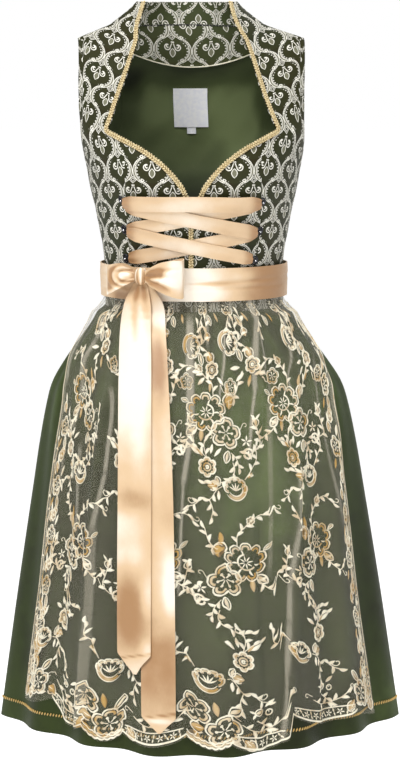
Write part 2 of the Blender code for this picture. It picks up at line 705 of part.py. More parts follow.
def front_normal(reach, level):
    step = 1.0
    across = front_point(reach + step, level) - front_point(reach - step, level)
    down = front_point(reach, level - step) - front_point(reach, level + step)
    return down.cross(across).normalized()


def on_front(place, level, lift):
    """A point at this place across, lifted off the bodice front."""
    reach = place - sway(level)
    return front_point(reach, level) + front_normal(reach, level) * lift


def braid_route(sign):
    """The neckline edge from the collar down to the corner, the cup's edge and the centre front."""
    route = [(row.inner_reach, row.inner_level) for row in SIDE_TOP_ROWS]
    route += [(PRINCESS[0].reach, PRINCESS[0].level)]
    cups = [(row.reach, row.level) for row in SWEETHEART]
    if sign > 0:
        cups = [pair for pair in cups if pair[1] > BRAID_LEFT_END]
    else:
        cups = [pair for pair in cups if pair[1] > SASH_TOP]
        cups.append((SWEETHEART[-1].reach, SASH_TOP - BRAID_UNDER_SASH))
    return route + cups


def make_braid(side, sign):
    """A flat gimp braid, its inner edge on the edge of the cloth."""
    route = []
    pairs = braid_route(sign)
    for (r0, l0), (r1, l1) in zip(pairs, pairs[1:]):
        steps = math.ceil(math.hypot(r1 - r0, l1 - l0) / BRAID_STEP)
        route += [(mix(r0, r1, k / steps), mix(l0, l1, k / steps)) for k in range(steps)]
    route.append(pairs[-1])
    edge = [front_point(sign * reach, level) for reach, level in route]
    grid = []
    for i, (reach, level) in enumerate(route):
        before, after = edge[max(i - 1, 0)], edge[min(i + 1, len(edge) - 1)]
        along = (after - before).normalized()
        outward = front_normal(sign * reach, level).cross(along).normalized() * sign
        stretch = 1.0
        if 0 < i < len(edge) - 1:
            turn = (edge[i] - before).normalized().dot((after - edge[i]).normalized())
            stretch = min(1 / math.sqrt((1 + turn) / 2), BRAID_MITRE)
        far = edge[i] + outward * (BRAID_WIDTH * stretch)
        row = [on_front(spot.x, spot.z, BRAID_LIFT + BRAID_THICKNESS) for spot in (edge[i], far)]
        grid.append(row if sign > 0 else list(reversed(row)))
    wall("neck_braid_" + side, grid, BRAID_THICKNESS, "gimp", GIMP)


def make_lace(lace):
    """A satin ribbon across the front between two hooks, narrow where it enters them."""
    length = abs(lace.end_place - lace.start_place)
    grid = [[], [], []]
    for k in range(LACE_STEPS + 1):
        share = k / LACE_STEPS
        end = min(share, 1 - share) * length
        width = LACE_WIDTH * mix(LACE_END_SHARE, 1, min(end / LACE_TAPER, 1) ** LACE_ROUND)
        place = mix(lace.start_place, lace.end_place, share)
        level = mix(lace.start_level, lace.end_level, share)
        for i, across in enumerate((0.5, 0, -0.5)):
            grid[i].append(on_front(place, level + across * width, lace.lift + RIBBON / 2))
    wall(lace.name, grid, RIBBON, "champagne_satin", CHAMPAGNE)


def make_hook(hook):
    """An upright oval wire loop on the princess seam."""
    reach = hook.place - sway(hook.level)
    normal = front_normal(reach, hook.level)
    centre = on_front(hook.place, hook.level, hook.lift)
    across = Vector((0, 0, 1)).cross(normal).normalized()
    up = normal.cross(across)
    points, faces = [], []
    turns, sides = HOOK_TURNS, HOOK_SIDES
    for k in range(turns):
        angle = 2 * math.pi * k / turns
        spoke = across * (math.cos(angle) * HOOK_WIDTH / 2) + up * (math.sin(angle) * HOOK_HEIGHT / 2)
        out = (across * math.cos(angle) * HOOK_HEIGHT + up * math.sin(angle) * HOOK_WIDTH).normalized()
        for m in range(sides):
            tilt = 2 * math.pi * m / sides
            points.append(centre + spoke + (out * math.cos(tilt) + normal * math.sin(tilt)) * HOOK_WIRE)
    for k in range(turns):
        this, following = k * sides, (k + 1) % turns * sides
        for m in range(sides):
            beside = (m + 1) % sides
            faces.append((this + m, this + beside, following + beside, following + m))
    closed_body(hook.name, points, faces, "dark_metal", DARK_METAL)


# Sash and bow

def ring_point(angle, level, lift):
    """A point round the waist, moved out by lift; angle 0 is the centre front, 90 the wearer's left."""
    turn = math.radians(angle)
    half = read(TORSO, level, "half_width")
    steep = read(TORSO, level, "square") - 1
    sign = -1 if math.cos(turn) > 0 else 1
    depth = read(TORSO, level, "front" if sign < 0 else "back")
    reach = half * math.sin(turn)
    share = torso_share(reach, level)
    away = math.copysign(abs(math.sin(turn)) ** steep / half, reach)
    out = Vector((away, sign * share ** steep / depth, 0)).normalized()
    return Vector((reach + sway(level), sign * depth * share, level)) + out * lift


def make_sash():
    grid = []
    for row in SASH_ROWS:
        level = mix(SASH_TOP, SASH_FOOT, row.down)
        line = []
        for j in range(SASH_COLUMNS):
            angle = 360 * j / SASH_COLUMNS
            front_share = math.cos(math.radians(angle)) * SASH_BLEND + SASH_BLEND_AT
            lift = mix(SASH_LIFT_BACK, SASH_LIFT_FRONT, min(max(front_share, 0), 1))
            line.append(ring_point(angle, level, lift + row.swell))
        grid.append(line)
    wall("waist_sash", grid, SASH_THICKNESS, "champagne_satin", CHAMPAGNE, wrap=True)


def make_loop(name, rows, way):
    """A loop of the bow: the ribbon goes out from the knot, turns and comes back behind itself."""
    along = way.normalized()
    across = Vector((-along.y, along.x, 0))
    if across.y > 0:
        across.negate()
    centre = Vector((KNOT_PLACE, KNOT_DEPTH, KNOT_LEVEL))
    grid = [[], [], []]
    for row in rows:
        spot = centre + along * (row.out + KNOT_WIDTH / 2 - LOOP_SEAT) - across * row.depth
        for i, share in enumerate((0, 0.5, 1)):
            level = mix(row.top, row.foot, share)
            grid[i].append(spot + Vector((0, 0, level)))
    if along.x < 0:
        grid = [list(reversed(line)) for line in grid]
    wall(name, grid, LOOP_THICKNESS, "champagne_satin", CHAMPAGNE)


def make_knot():
    """The knot: a soft, slightly squared ball of ribbon."""
    rings, sides = KNOT_RINGS, KNOT_SIDES
    centre = Vector((KNOT_PLACE, KNOT_DEPTH, KNOT_LEVEL))
    points, faces = [centre + Vector((0, 0, KNOT_HEIGHT / 2))], []
    for i in range(1, rings):
        tilt = math.pi * i / rings
        girth = math.sin(tilt) ** KNOT_FULLNESS
        for k in range(sides):
            angle = 2 * math.pi * k / sides
            points.append(centre + Vector((math.cos(angle) * girth * KNOT_WIDTH / 2,
                                           math.sin(angle) * girth * KNOT_THICKNESS / 2,
                                           math.cos(tilt) * KNOT_HEIGHT / 2)))
    points.append(centre - Vector((0, 0, KNOT_HEIGHT / 2)))
    for k in range(sides):
        faces.append((0, 1 + k, 1 + (k + 1) % sides))
        foot = 1 + (rings - 2) * sides
        faces.append((foot + k, len(points) - 1, foot + (k + 1) % sides))
        for i in range(rings - 2):
            a, b = 1 + i * sides + k, 1 + i * sides + (k + 1) % sides
            faces.append((a, a + sides, b + sides, b))
    closed_body("bow_knot", points, faces, "champagne_satin", CHAMPAGNE)


def make_tail(name, rows, crown):
    """A hanging end of the sash, lying down the apron, pointed and with a slightly raised middle."""
    grid = []
    for row in rows:
        line = []
        for share in (0, 0.5, 1):
            place = mix(row.right, row.left, share)
            line.append(skirt_front_at(place, row.level, row.lift + (crown if share == 0.5 else 0)))
        grid.append(line)
    wall(name, grid, RIBBON, "champagne_satin", CHAMPAGNE)


# Skirt and apron

def skirt_size(level, lift):
    """Half width, depths in front and behind and roundness of the skirt's section at a level."""
    half = read(SKIRT, level, "half_width")
    share = (half - SKIRT[0].half_width) / (SKIRT[-1].half_width - SKIRT[0].half_width)
    down = min(max((SKIRT[0].level - level) / (SKIRT[0].level - HEM), 0), 1)
    roundness = mix(WAIST_ROUND, HEM_ROUND, down)
    front = mix(WAIST_FRONT, HEM_FRONT, share)
    back = mix(WAIST_BACK, HEM_BACK, share)
    return half + lift, front + lift, back + lift, roundness


def broad_fold(place, level):
    """The skirt's broad folds, which the apron follows too; they fade to the side seams."""
    down = min(max((BROAD_TOP - level) / (BROAD_TOP - HEM), 0), 1)
    edge = 1 - abs(place) ** SEAM_FADE
    wave = math.cos(math.pi * BROAD_FOLDS * (place - BROAD_CREST))
    return BROAD_DEPTH * down ** BROAD_GROWTH * wave * edge


def gather(place, level):
    """The small gathers at the waist, which run out down the skirt."""
    down = min(max((SKIRT[0].level - level) / (SKIRT[0].level - HEM), 0), 1)
    height = mix(GATHER_AT_SEAM, 1, min(down * GATHER_GROWTH, 1)) * (1 - down) ** GATHER_FADE
    edge = 1 - abs(place) ** SEAM_FADE
    return GATHER_DEPTH * height * math.cos(math.pi * GATHERS * place) * edge


@functools.lru_cache(maxsize=None)
def section_lengths(half, depth, roundness):
    """Running length along a quarter of the skirt's section, at even angles from its middle."""
    spots = [(half * math.sin(angle), depth * max(math.cos(angle), 0) ** (2 * roundness))
             for angle in (math.pi / 2 * k / SECTION_STEPS for k in range(SECTION_STEPS + 1))]
    lengths = [0]
    for (x0, y0), (x1, y1) in zip(spots, spots[1:]):
        lengths.append(lengths[-1] + math.hypot(x1 - x0, y1 - y0))
    return lengths


def section_angle(place, half, depth, roundness):
    """The angle that lies this share of the way round from the middle to the side seam."""
    lengths = section_lengths(half, depth, roundness)
    wanted = abs(place) * lengths[-1]
    k = next((k for k in range(SECTION_STEPS) if lengths[k + 1] >= wanted), SECTION_STEPS - 1)
    part = (wanted - lengths[k]) / (lengths[k + 1] - lengths[k])
    return math.copysign(math.pi / 2 * (k + min(part, 1)) / SECTION_STEPS, place)


def skirt_point(place, level, lift, front=True):
    """A point of the skirt; place runs from -1 at one side seam over 0 at the middle to 1."""
    half, front_depth, back_depth, roundness = skirt_size(level, 0)
    depth = front_depth if front else back_depth
    sign = -1 if front else 1
    angle = section_angle(place, half, depth, roundness)
    power = 2 * roundness
    fore = max(math.cos(angle), LEAST_SHARE)
    base = Vector((half * math.sin(angle), sign * depth * fore ** power, level))
    slope_x = half * math.cos(angle)
    slope_y = depth * power * fore ** (power - 1) * math.sin(angle)
    point = base + Vector((slope_y, sign * slope_x, 0)).normalized() * lift
    point.x += sway(level)
    return point


def skirt_front_at(place, level, lift):
    """A point in front of the skirt at this place across, in millimetres, moved out by lift."""
    half, front, _, roundness = skirt_size(level, lift)
    out = min(abs(place - sway(level)) / half, 1)
    return Vector((place, -front * (1 - out * out) ** roundness, level))


def make_skirt():
    for name, front in (("skirt_front", True), ("skirt_back", False)):
        grid = []
        for level in SKIRT_LEVELS:
            row = []
            for j in range(SKIRT_COLUMNS + 1):
                place = -1 + 2 * j / SKIRT_COLUMNS
                folds = broad_fold(place, level) + gather(place, level)
                row.append(skirt_point(place, level, folds, front))
            for end in (row[0], row[-1]):
                end.y = -SEAM_GAP if front else SEAM_GAP
            grid.append(row if front else list(reversed(row)))
        wall(name, grid, SHELL, "green_satin", GREEN_SATIN, pin=side_seams(SKIRT_COLUMNS + 1))


def apron_edge(place):
    """The level of the apron's scalloped lower edge."""
    for arc in SCALLOPS:
        if place <= arc.end:
            share = min(max((place - arc.start) / (arc.end - arc.start), 0), 1)
            sag = arc.sag * math.sin(math.pi * share) ** SAG_SHAPE
            return mix(arc.start_level, arc.end_level, share) - sag
    return SCALLOPS[-1].end_level


def apron_ridge(place, level):
    """The height of the apron's own pleats and folds."""
    height = 0
    for fold in APRON_FOLDS:
        down = min(max((fold.top_level - level) / (fold.top_level - HEM), 0), 1)
        run = min(max((fold.top_level - level) / (fold.top_level - fold.low_level), 0), 1)
        centre = mix(fold.top_place, fold.low_place, run)
        away = (place - centre) / fold.width
        height = max(height, fold.height * min(down * FOLD_GROWTH, 1) * math.exp(-away * away))
    return height


def apron_point(across, share):
    """A point of the apron: across runs from -1 to 1, share from the top to the scalloped edge."""
    low_place = across * APRON_SIDES[-1].reach
    level = mix(APRON_TOP, apron_edge(low_place), share)
    place = across * read(APRON_SIDES, level, "reach")
    lift = read(APRON_LIFT, level, "lift") + broad_fold(place, level) + apron_ridge(place, level)
    if level > SKIRT[0].level:
        half, front, _, roundness = skirt_size(level, 0)
        return ring_point(math.degrees(section_angle(place, half, front, roundness)), level, lift)
    return skirt_point(place, level, lift)


def make_apron():
    places = [-1 + 2 * j / APRON_COLUMNS for j in range(APRON_COLUMNS + 1)]
    grid = [[apron_point(across, share) for across in places] for share in APRON_ROWS]
    wall("apron", grid, TULLE, "apron_tulle", APRON_TULLE)


def main():
    start_empty()
    make_fronts()
    make_back()
    make_labels()
    for side, sign in SIDES:
        make_braid(side, sign)
    for lace in LACES:
        make_lace(lace)
    for hook in HOOKS:
        make_hook(hook)
    make_skirt()
    make_apron()
    make_sash()
    make_loop("bow_loop_right", RIGHT_LOOP, RIGHT_LOOP_WAY)
    make_loop("bow_loop_left", LEFT_LOOP, LEFT_LOOP_WAY)
    make_knot()
    make_tail("bow_tail_front", FRONT_TAIL, FRONT_TAIL_CROWN)
    make_tail("bow_tail_back", BACK_TAIL, BACK_TAIL_CROWN)


main()
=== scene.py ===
"""The looks of a sleeveless laced dirndl dress: woven, satin, gimp and embroidered tulle pieces.

Tables and working sizes are in millimetres, in the frame of the dress: +Z up, front to -Y, +X the
wearer's left, the origin on the centre line at the shoulder seams. A cloth piece is a grid of outer
points, seen from outside with its columns left to right and its rows downward.
"""
import math
from collections import namedtuple

import bmesh
import bpy
import numpy as np
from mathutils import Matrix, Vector

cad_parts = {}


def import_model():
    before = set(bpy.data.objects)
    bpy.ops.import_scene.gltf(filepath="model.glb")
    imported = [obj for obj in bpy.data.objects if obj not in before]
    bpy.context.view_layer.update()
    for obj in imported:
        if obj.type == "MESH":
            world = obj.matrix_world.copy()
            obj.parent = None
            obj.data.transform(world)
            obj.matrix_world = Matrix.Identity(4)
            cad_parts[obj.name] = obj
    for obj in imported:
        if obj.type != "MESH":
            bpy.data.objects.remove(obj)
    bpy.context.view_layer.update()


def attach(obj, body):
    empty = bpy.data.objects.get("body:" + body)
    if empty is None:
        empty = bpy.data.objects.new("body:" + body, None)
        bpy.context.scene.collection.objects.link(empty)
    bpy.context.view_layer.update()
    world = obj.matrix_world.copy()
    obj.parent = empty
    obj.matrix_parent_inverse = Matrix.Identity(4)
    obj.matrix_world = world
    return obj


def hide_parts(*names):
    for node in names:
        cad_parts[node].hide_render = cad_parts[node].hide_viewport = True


METRES = 0.001
SEAM_GAP = 0.05
LAYER_GAP = 0.4


def table(kind, rows):
    """The rows, each as one of this kind."""
    return tuple(kind(*row) for row in rows)


SHOULDER_SEAM_DEPTH = 5.0
SHOULDER_TIP = 148.0
NECK_BASE = 99.0
COLLAR_TOP = 66.0
COLLAR_LEVEL = 36.0
NECK_SEAM_LEVEL = 5.5
NECK_SEAM_BACK = 82.0
UNDERARM = -157.0
WAIST_SEAM = -360.0
HEM = -920.0
SHOULDER_ROUND, SHOULDER_SHAPE = 150.0, 0.65
CUP_PLACE, CUP_LEVEL = 72.0, -172.0
CUP_WIDTH, CUP_HEIGHT, CUP_RISE = 42.0, 52.0, 7.0

Section = namedtuple("Section", "level half_width front back square")
TORSO = table(Section, (
    (60, 150, 55, 78, 2.4), (36, 150, 55, 78, 2.4), (0, 153.5, 62, 82, 2.4), (-48, 156, 78, 93, 2.4),
    (-90, 156, 98, 101, 2.4), (-130, 152, 121, 104, 2.4), (-145, 147.5, 127, 104.5, 2.4),
    (UNDERARM, 144.2, 131, 104, 2.4), (-183, 139.2, 133, 101, 2.35), (-209, 134.8, 127, 96, 2.3),
    (-236, 128.4, 116, 90.5, 2.25), (-262, 123.9, 106, 86, 2.2), (-288, 119, 99, 82.5, 2.1),
    (-318, 117.2, 94.5, 81, 2.05), (-346, 117.2, 93.5, 82, 2.0), (WAIST_SEAM, 117.5, 94, 83, 2.0),
))
Ridge = namedtuple("Ridge", "reach level")
RIDGE = table(Ridge, (
    (40, 62), (COLLAR_TOP, COLLAR_LEVEL), (75, 26.5), (85.6, 17), (NECK_BASE, 7.9), (112, 2.5), (129, -3.7),
    (150, -11.8), (160, -16),
))
Armhole = namedtuple("Armhole", "level reach")
ARMHOLE = table(Armhole, (
    (-8, SHOULDER_TIP), (-44, 147.5), (-92, 146.4), (-118, 145.6), (-131, 145.3), (-141, 144.8),
    (-150, 144.0), (UNDERARM, 144.2),
))
Sway = namedtuple("Sway", "level shift")
SWAY = table(Sway, (
    (36, -8), (10, -8), (-4, -5.5), (-16, -2.2), (-92, -2.2), (-118, -1.2), (-170, 0.3), (WAIST_SEAM, 1.2),
    (-408, 2.9), (-489, 5.4), (-680, 7.4), (HEM, 8.9),
))
SideRow = namedtuple("SideRow", "inner_reach inner_level outer_reach outer_level")
SIDE_TOP_ROWS = table(SideRow, (
    (53.5, 34, COLLAR_TOP, None), (57.5, 19, 77, None), (63, 3, 89, None), (67.5, -11, 104, None),
    (73, -27, 125, None), (78.5, -44, SHOULDER_TIP, None), (84, -61, None, -34), (89.5, -78, None, -56),
    (95.5, -95, None, -80), (101.5, -112, None, -104), (107.5, -126.5, None, -124),
    (98.5, -130.8, None, -140),
))
PrincessRow = namedtuple("PrincessRow", "level reach side_level")
PRINCESS = table(PrincessRow, (
    (-136, 87.8, -150.5), (-149, 87, UNDERARM), (-164, 87, -176), (-181, 87, -196), (-199, 87, -217),
    (-219, 86.5, -239), (-242, 86, -258), (-268, 84.5, -280), (-298, 82, -306), (-329, 81, -333),
    (WAIST_SEAM, 80.5, WAIST_SEAM),
))
CupRow = namedtuple("CupRow", "reach level")
SWEETHEART = table(CupRow, (
    (80, -139.8), (66, -147), (51, -156.5), (36, -168.5), (22.5, -182.5), (11.8, -197), (5, -212),
    (0.8, -232), (0.7, -275), (0.7, -318), (0.7, WAIST_SEAM),
))

# The skirt and the apron
SkirtRow = namedtuple("SkirtRow", "level half_width")
SKIRT = table(SkirtRow, (
    (-360.4, 118), (-364, 121.5), (-368, 127), (-374, 131), (-381.5, 135.5), (-395, 145), (-408, 155.5),
    (-435, 175), (-462, 191.5), (-489, 200), (-543, 211), (-597, 220), (-679, 233.5), (-761, 246.5),
    (-845, 259), (HEM, 270),
))
SKIRT_TOP = SKIRT[0].level
WAIST_FRONT, WAIST_BACK, HEM_FRONT, HEM_BACK = 95.0, 84.0, 196.0, 196.0
WAIST_ROUND, HEM_ROUND = 0.5, 1.0
GATHERS, GATHER_DEPTH, GATHER_AT_SEAM, GATHER_GROWTH, GATHER_FADE = 12, 2.6, 0.35, 60, 1.5
BROAD_FOLDS, BROAD_DEPTH, BROAD_CREST, BROAD_TOP, BROAD_GROWTH = 7, 7.0, -0.17, -390.0, 0.8
SEAM_FADE = 8
ApronSide = namedtuple("ApronSide", "level reach")
APRON_SIDES = table(ApronSide, (
    (-338, 0.84), (-346, 0.87), (-360, 0.945), (-373, 0.965), (-390, 0.94), (-405, 0.907), (-421, 0.88),
    (-436, 0.825), (-451, 0.773), (-480, 0.735), (-540, 0.745), (-620, 0.765), (-730, 0.775), (-830, 0.81),
    (HEM, 0.835),
))
ApronLift = namedtuple("ApronLift", "level lift")
APRON_LIFT = table(ApronLift, (
    (-338, 3.3), (-346, 3.6), (-352, 4.6), (-357, 7.0), (-362, 8.5), (-370, 7.5), (-381, 6.5), (-500, 5.5),
    (HEM, 5.0),
))
APRON_TOP = -338.0
ApronFold = namedtuple("ApronFold", "top_place low_place top_level low_level height width")
APRON_FOLDS = table(ApronFold, (
    (-0.71, -0.565, -352, -600, 6, 0.035), (-0.43, -0.485, -400, -640, 8, 0.022),
    (-0.04, -0.085, -352, -700, 4, 0.028), (0.088, 0.065, -350, -450, 4, 0.028),
    (0.29, 0.105, -350, -457, 4, 0.026), (0.453, 0.228, -352, -535, 5, 0.024),
    (0.735, 0.488, -358, -470, 5, 0.030), (0.375, 0.300, -440, -683, 4, 0.030),
    (0.48, 0.330, -520, -900, 9, 0.020), (0.80, 0.640, -358, -700, 5, 0.035),
))
FOLD_GROWTH = 8
Scallop = namedtuple("Scallop", "start end start_level end_level sag")
SCALLOPS = table(Scallop, (
    (-0.835, -0.666, -882, -871, 4), (-0.666, -0.468, -871, -894, 15), (-0.468, -0.309, -894, -898, 15),
    (-0.309, -0.050, -898, -894, 12), (-0.050, 0.113, -894, -902, 12), (0.113, 0.335, -902, -903, 15),
    (0.335, 0.356, -903, -874, 0), (0.356, 0.680, -874, -889, 14), (0.680, 0.835, -889, -905, 2),
))
SAG_SHAPE = 0.8


def read(rows, where, column):
    """One column of a table at places between its rows, on a smooth curve. The first column leads."""
    table = sorted(rows)
    places = np.array([row[0] for row in table], float)
    values = np.array([getattr(row, column) for row in table], float)
    slopes = np.empty_like(values)
    slopes[1:-1] = (values[2:] - values[:-2]) / (places[2:] - places[:-2])
    slopes[0] = (values[1] - values[0]) / (places[1] - places[0])
    slopes[-1] = (values[-1] - values[-2]) / (places[-1] - places[-2])
    where = np.clip(where, places[0], places[-1])
    low = np.clip(np.searchsorted(places, where) - 1, 0, len(places) - 2)
    span = places[low + 1] - places[low]
    t = (where - places[low]) / span
    return (values[low] + (values[low + 1] - values[low]) * t * t * (3 - 2 * t)
            + span * (slopes[low] * t * (1 - t) ** 2 - slopes[low + 1] * t * t * (1 - t)))


def along(values, places):
    """A list of values read at fractional places, in straight lines between them."""
    return np.interp(places, np.arange(len(values)), np.asarray(values, float))


def mix(a, b, t):
    return a + (b - a) * t


def clamp(value):
    return np.clip(value, 0, 1)


def stacked(x, y, z):
    return np.stack(np.broadcast_arrays(x, y, z), axis=-1).astype(float)


def unit(vectors):
    return vectors / np.maximum(np.linalg.norm(vectors, axis=-1, keepdims=True), 1e-9)


# Forms that the pieces share

def sway(level):
    return read(SWAY, level, "shift")


def ridge_level(reach):
    return read(RIDGE, np.abs(reach), "level")


def rounding(drop):
    return np.sin(math.pi / 2 * clamp(drop / SHOULDER_ROUND) ** SHOULDER_SHAPE)


def torso_share(reach, level):
    half = read(TORSO, level, "half_width")
    square = read(TORSO, level, "square")
    out = np.minimum(np.abs(reach) / half, 1)
    return (1 - out ** square) ** (1 / square)


def front_point(reach, level):
    """The bodice front; reach is measured from the swaying centre line."""
    drop = ridge_level(reach) - level
    across = (np.abs(reach) - CUP_PLACE) / CUP_WIDTH
    down = (level - CUP_LEVEL) / CUP_HEIGHT
    cup = CUP_RISE * np.exp(-across ** 2 - down ** 2)
    depth = read(TORSO, level, "front") * torso_share(reach, level) + cup
    ridge_part = SHOULDER_SEAM_DEPTH * np.maximum(1 - drop / SHOULDER_ROUND, 0)
    return stacked(reach + sway(level), ridge_part - depth * rounding(drop), level)


def front_normal(reach, level):
    across = front_point(reach + 1, level) - front_point(reach - 1, level)
    down = front_point(reach, level - 1) - front_point(reach, level + 1)
    return unit(np.cross(down, across))


def on_front(place, level, lift):
    """On the bodice front at this place across, lifted off it."""
    reach = place - sway(level)
    return front_point(reach, level) + front_normal(reach, level) * np.asarray(lift)[..., None]


def angle_of(reach, level):
    return np.arcsin(np.clip(reach / read(TORSO, level, "half_width"), -1, 1))


def ring_point(turn, level, lift):
    """Round the waist, moved out by lift; turn 0 is the centre front, in radians."""
    half = read(TORSO, level, "half_width")
    steep = read(TORSO, level, "square") - 1
    sign = np.where(np.cos(turn) > 0, -1, 1)
    depth = np.where(sign < 0, read(TORSO, level, "front"), read(TORSO, level, "back"))
    reach = half * np.sin(turn)
    share = torso_share(reach, level)
    away = np.copysign(np.abs(np.sin(turn)) ** steep / half, reach)
    out = unit(stacked(away, sign * share ** steep / depth, 0 * away))
    return stacked(reach + sway(level), sign * depth * share, level) + out * np.asarray(lift)[..., None]


def down_skirt(level):
    """How far down the skirt a level lies, from 0 at the seam to 1 at the hem."""
    return clamp((SKIRT_TOP - level) / (SKIRT_TOP - HEM))


def skirt_size(level):
    half = read(SKIRT, level, "half_width")
    share = (half - SKIRT[0].half_width) / (SKIRT[-1].half_width - SKIRT[0].half_width)
    down = down_skirt(level)
    return half, mix(WAIST_FRONT, HEM_FRONT, share), mix(WAIST_BACK, HEM_BACK, share), mix(
        WAIST_ROUND, HEM_ROUND, down)


def section_turns(front):
    """Angles at even steps of arc length round a quarter of the skirt, for a ladder of levels."""
    levels = np.linspace(HEM, APRON_TOP, 240)
    half, fore, aft, roundness = skirt_size(levels)
    depth = fore if front else aft
    turns = np.linspace(0, math.pi / 2, 241)
    x = half[:, None] * np.sin(turns)
    y = depth[:, None] * np.maximum(np.cos(turns), 0) ** (2 * roundness[:, None])
    lengths = np.zeros_like(x)
    lengths[:, 1:] = np.cumsum(np.hypot(np.diff(x), np.diff(y)), axis=1)
    shares = np.linspace(0, 1, 161)
    table = np.array([np.interp(shares, row / row[-1], turns) for row in lengths])
    return levels, table, lengths[:, -1]


TURNS = {front: section_turns(front) for front in (True, False)}


def skirt_turn(place, level, front=True):
    """The angle round the skirt at this share of the way from its middle to its side seam."""
    levels, table, _ = TURNS[front]
    row = clamp((level - levels[0]) / (levels[-1] - levels[0])) * (len(levels) - 1)
    column = clamp(np.abs(place)) * (table.shape[1] - 1)
    i = np.minimum(row.astype(int), len(levels) - 2)
    j = np.minimum(column.astype(int), table.shape[1] - 2)
    a, b = row - i, column - j
    turn = ((table[i, j] * (1 - a) + table[i + 1, j] * a) * (1 - b)
            + (table[i, j + 1] * (1 - a) + table[i + 1, j + 1] * a) * b)
    return np.copysign(turn, place)


def quarter_length(level, front=True):
    levels, _, lengths = TURNS[front]
    return np.interp(level, levels, lengths)


def skirt_point(place, level, lift, front=True):
    """On the skirt; place runs from -1 at one side seam over 0 at the middle to 1."""
    place, level, lift = np.broadcast_arrays(*(np.asarray(v, float) for v in (place, level, lift)))
    half, fore, aft, roundness = skirt_size(level)
    depth = fore if front else aft
    sign = -1 if front else 1
    turn = skirt_turn(place, level, front)
    power = 2 * roundness
    share = np.maximum(np.cos(turn), 1e-6)
    base = stacked(half * np.sin(turn), sign * depth * share ** power, level)
    slope = depth * power * share ** (power - 1)
    out = unit(stacked(slope * np.sin(turn), sign * half * np.cos(turn), 0 * half))
    base += out * lift[..., None]
    base[..., 0] += sway(level)
    return base


def skirt_front_at(place, level, lift):
    """In front of the skirt at this place across, in millimetres."""
    half, fore, _, roundness = skirt_size(level)
    out = np.minimum(np.abs(place - sway(level)) / (half + lift), 1)
    return stacked(place, -(fore + lift) * (1 - out * out) ** roundness, level)


def broad_fold(place, level):
    down = clamp((BROAD_TOP - level) / (BROAD_TOP - HEM))
    edge = 1 - np.abs(place) ** SEAM_FADE
    return BROAD_DEPTH * down ** BROAD_GROWTH * np.cos(math.pi * BROAD_FOLDS * (place - BROAD_CREST)) * edge


def gather(place, level):
    down = down_skirt(level)
    height = mix(GATHER_AT_SEAM, 1, np.minimum(down * GATHER_GROWTH, 1)) * (1 - down) ** GATHER_FADE
    return GATHER_DEPTH * height * np.cos(math.pi * GATHERS * place) * (1 - np.abs(place) ** SEAM_FADE)


def apron_edge(place):
    """The level of the apron's scalloped lower edge."""
    level = np.full(np.shape(place), float(SCALLOPS[-1].end_level))
    for arc in reversed(SCALLOPS):
        share = clamp((place - arc.start) / (arc.end - arc.start))
        here = mix(arc.start_level, arc.end_level, share) - arc.sag * np.sin(math.pi * share) ** SAG_SHAPE
        level = np.where(place <= arc.end, here, level)
    return level


def apron_ridge(place, level):
    height = np.zeros(np.shape(place))
    for fold in APRON_FOLDS:
        down = clamp((fold.top_level - level) / (fold.top_level - HEM))
        run = clamp((fold.top_level - level) / (fold.top_level - fold.low_level))
        away = (place - mix(fold.top_place, fold.low_place, run)) / fold.width
        height = np.maximum(height, fold.height * np.minimum(down * FOLD_GROWTH, 1) * np.exp(-away * away))
    return height


def apron_point(across, share, lift=0.0):
    """On the apron: across runs from -1 to 1, share from its top to its scalloped edge."""
    across, share = np.broadcast_arrays(np.asarray(across, float), np.asarray(share, float))
    level = mix(APRON_TOP, apron_edge(across * APRON_SIDES[-1].reach), share)
    place = across * read(APRON_SIDES, level, "reach")
    out = read(APRON_LIFT, level, "lift") + broad_fold(place, level) + apron_ridge(place, level) + lift
    above = level > SKIRT_TOP
    low = skirt_point(place, np.minimum(level, SKIRT_TOP), out)
    high = ring_point(skirt_turn(place, level), level, out)
    return np.where(above[..., None], high, low)


# Building cloth

def normals(grid, wrap=False):
    """Outward unit normals of a grid of points."""
    down = np.gradient(grid, axis=0)
    if wrap:
        across = np.roll(grid, -1, axis=1) - np.roll(grid, 1, axis=1)
    else:
        across = np.gradient(grid, axis=1)
    return unit(np.cross(down, across))


def moved(grid, distance, wrap=False):
    return grid + normals(grid, wrap) * np.asarray(distance)[..., None]


def run_across(grid, start=0.0):
    """Length along each row from its first column."""
    steps = np.linalg.norm(np.diff(grid, axis=1), axis=-1)
    return np.concatenate([np.zeros((len(grid), 1)), np.cumsum(steps, axis=1)], axis=1) + start


def run_down(grid):
    steps = np.linalg.norm(np.diff(grid, axis=0), axis=-1)
    return np.concatenate([np.zeros((1, grid.shape[1])), np.cumsum(steps, axis=0)], axis=0)


def new_object(name, mesh):
    thing = bpy.data.objects.new(name, mesh)
    bpy.context.scene.collection.objects.link(thing)
    return thing


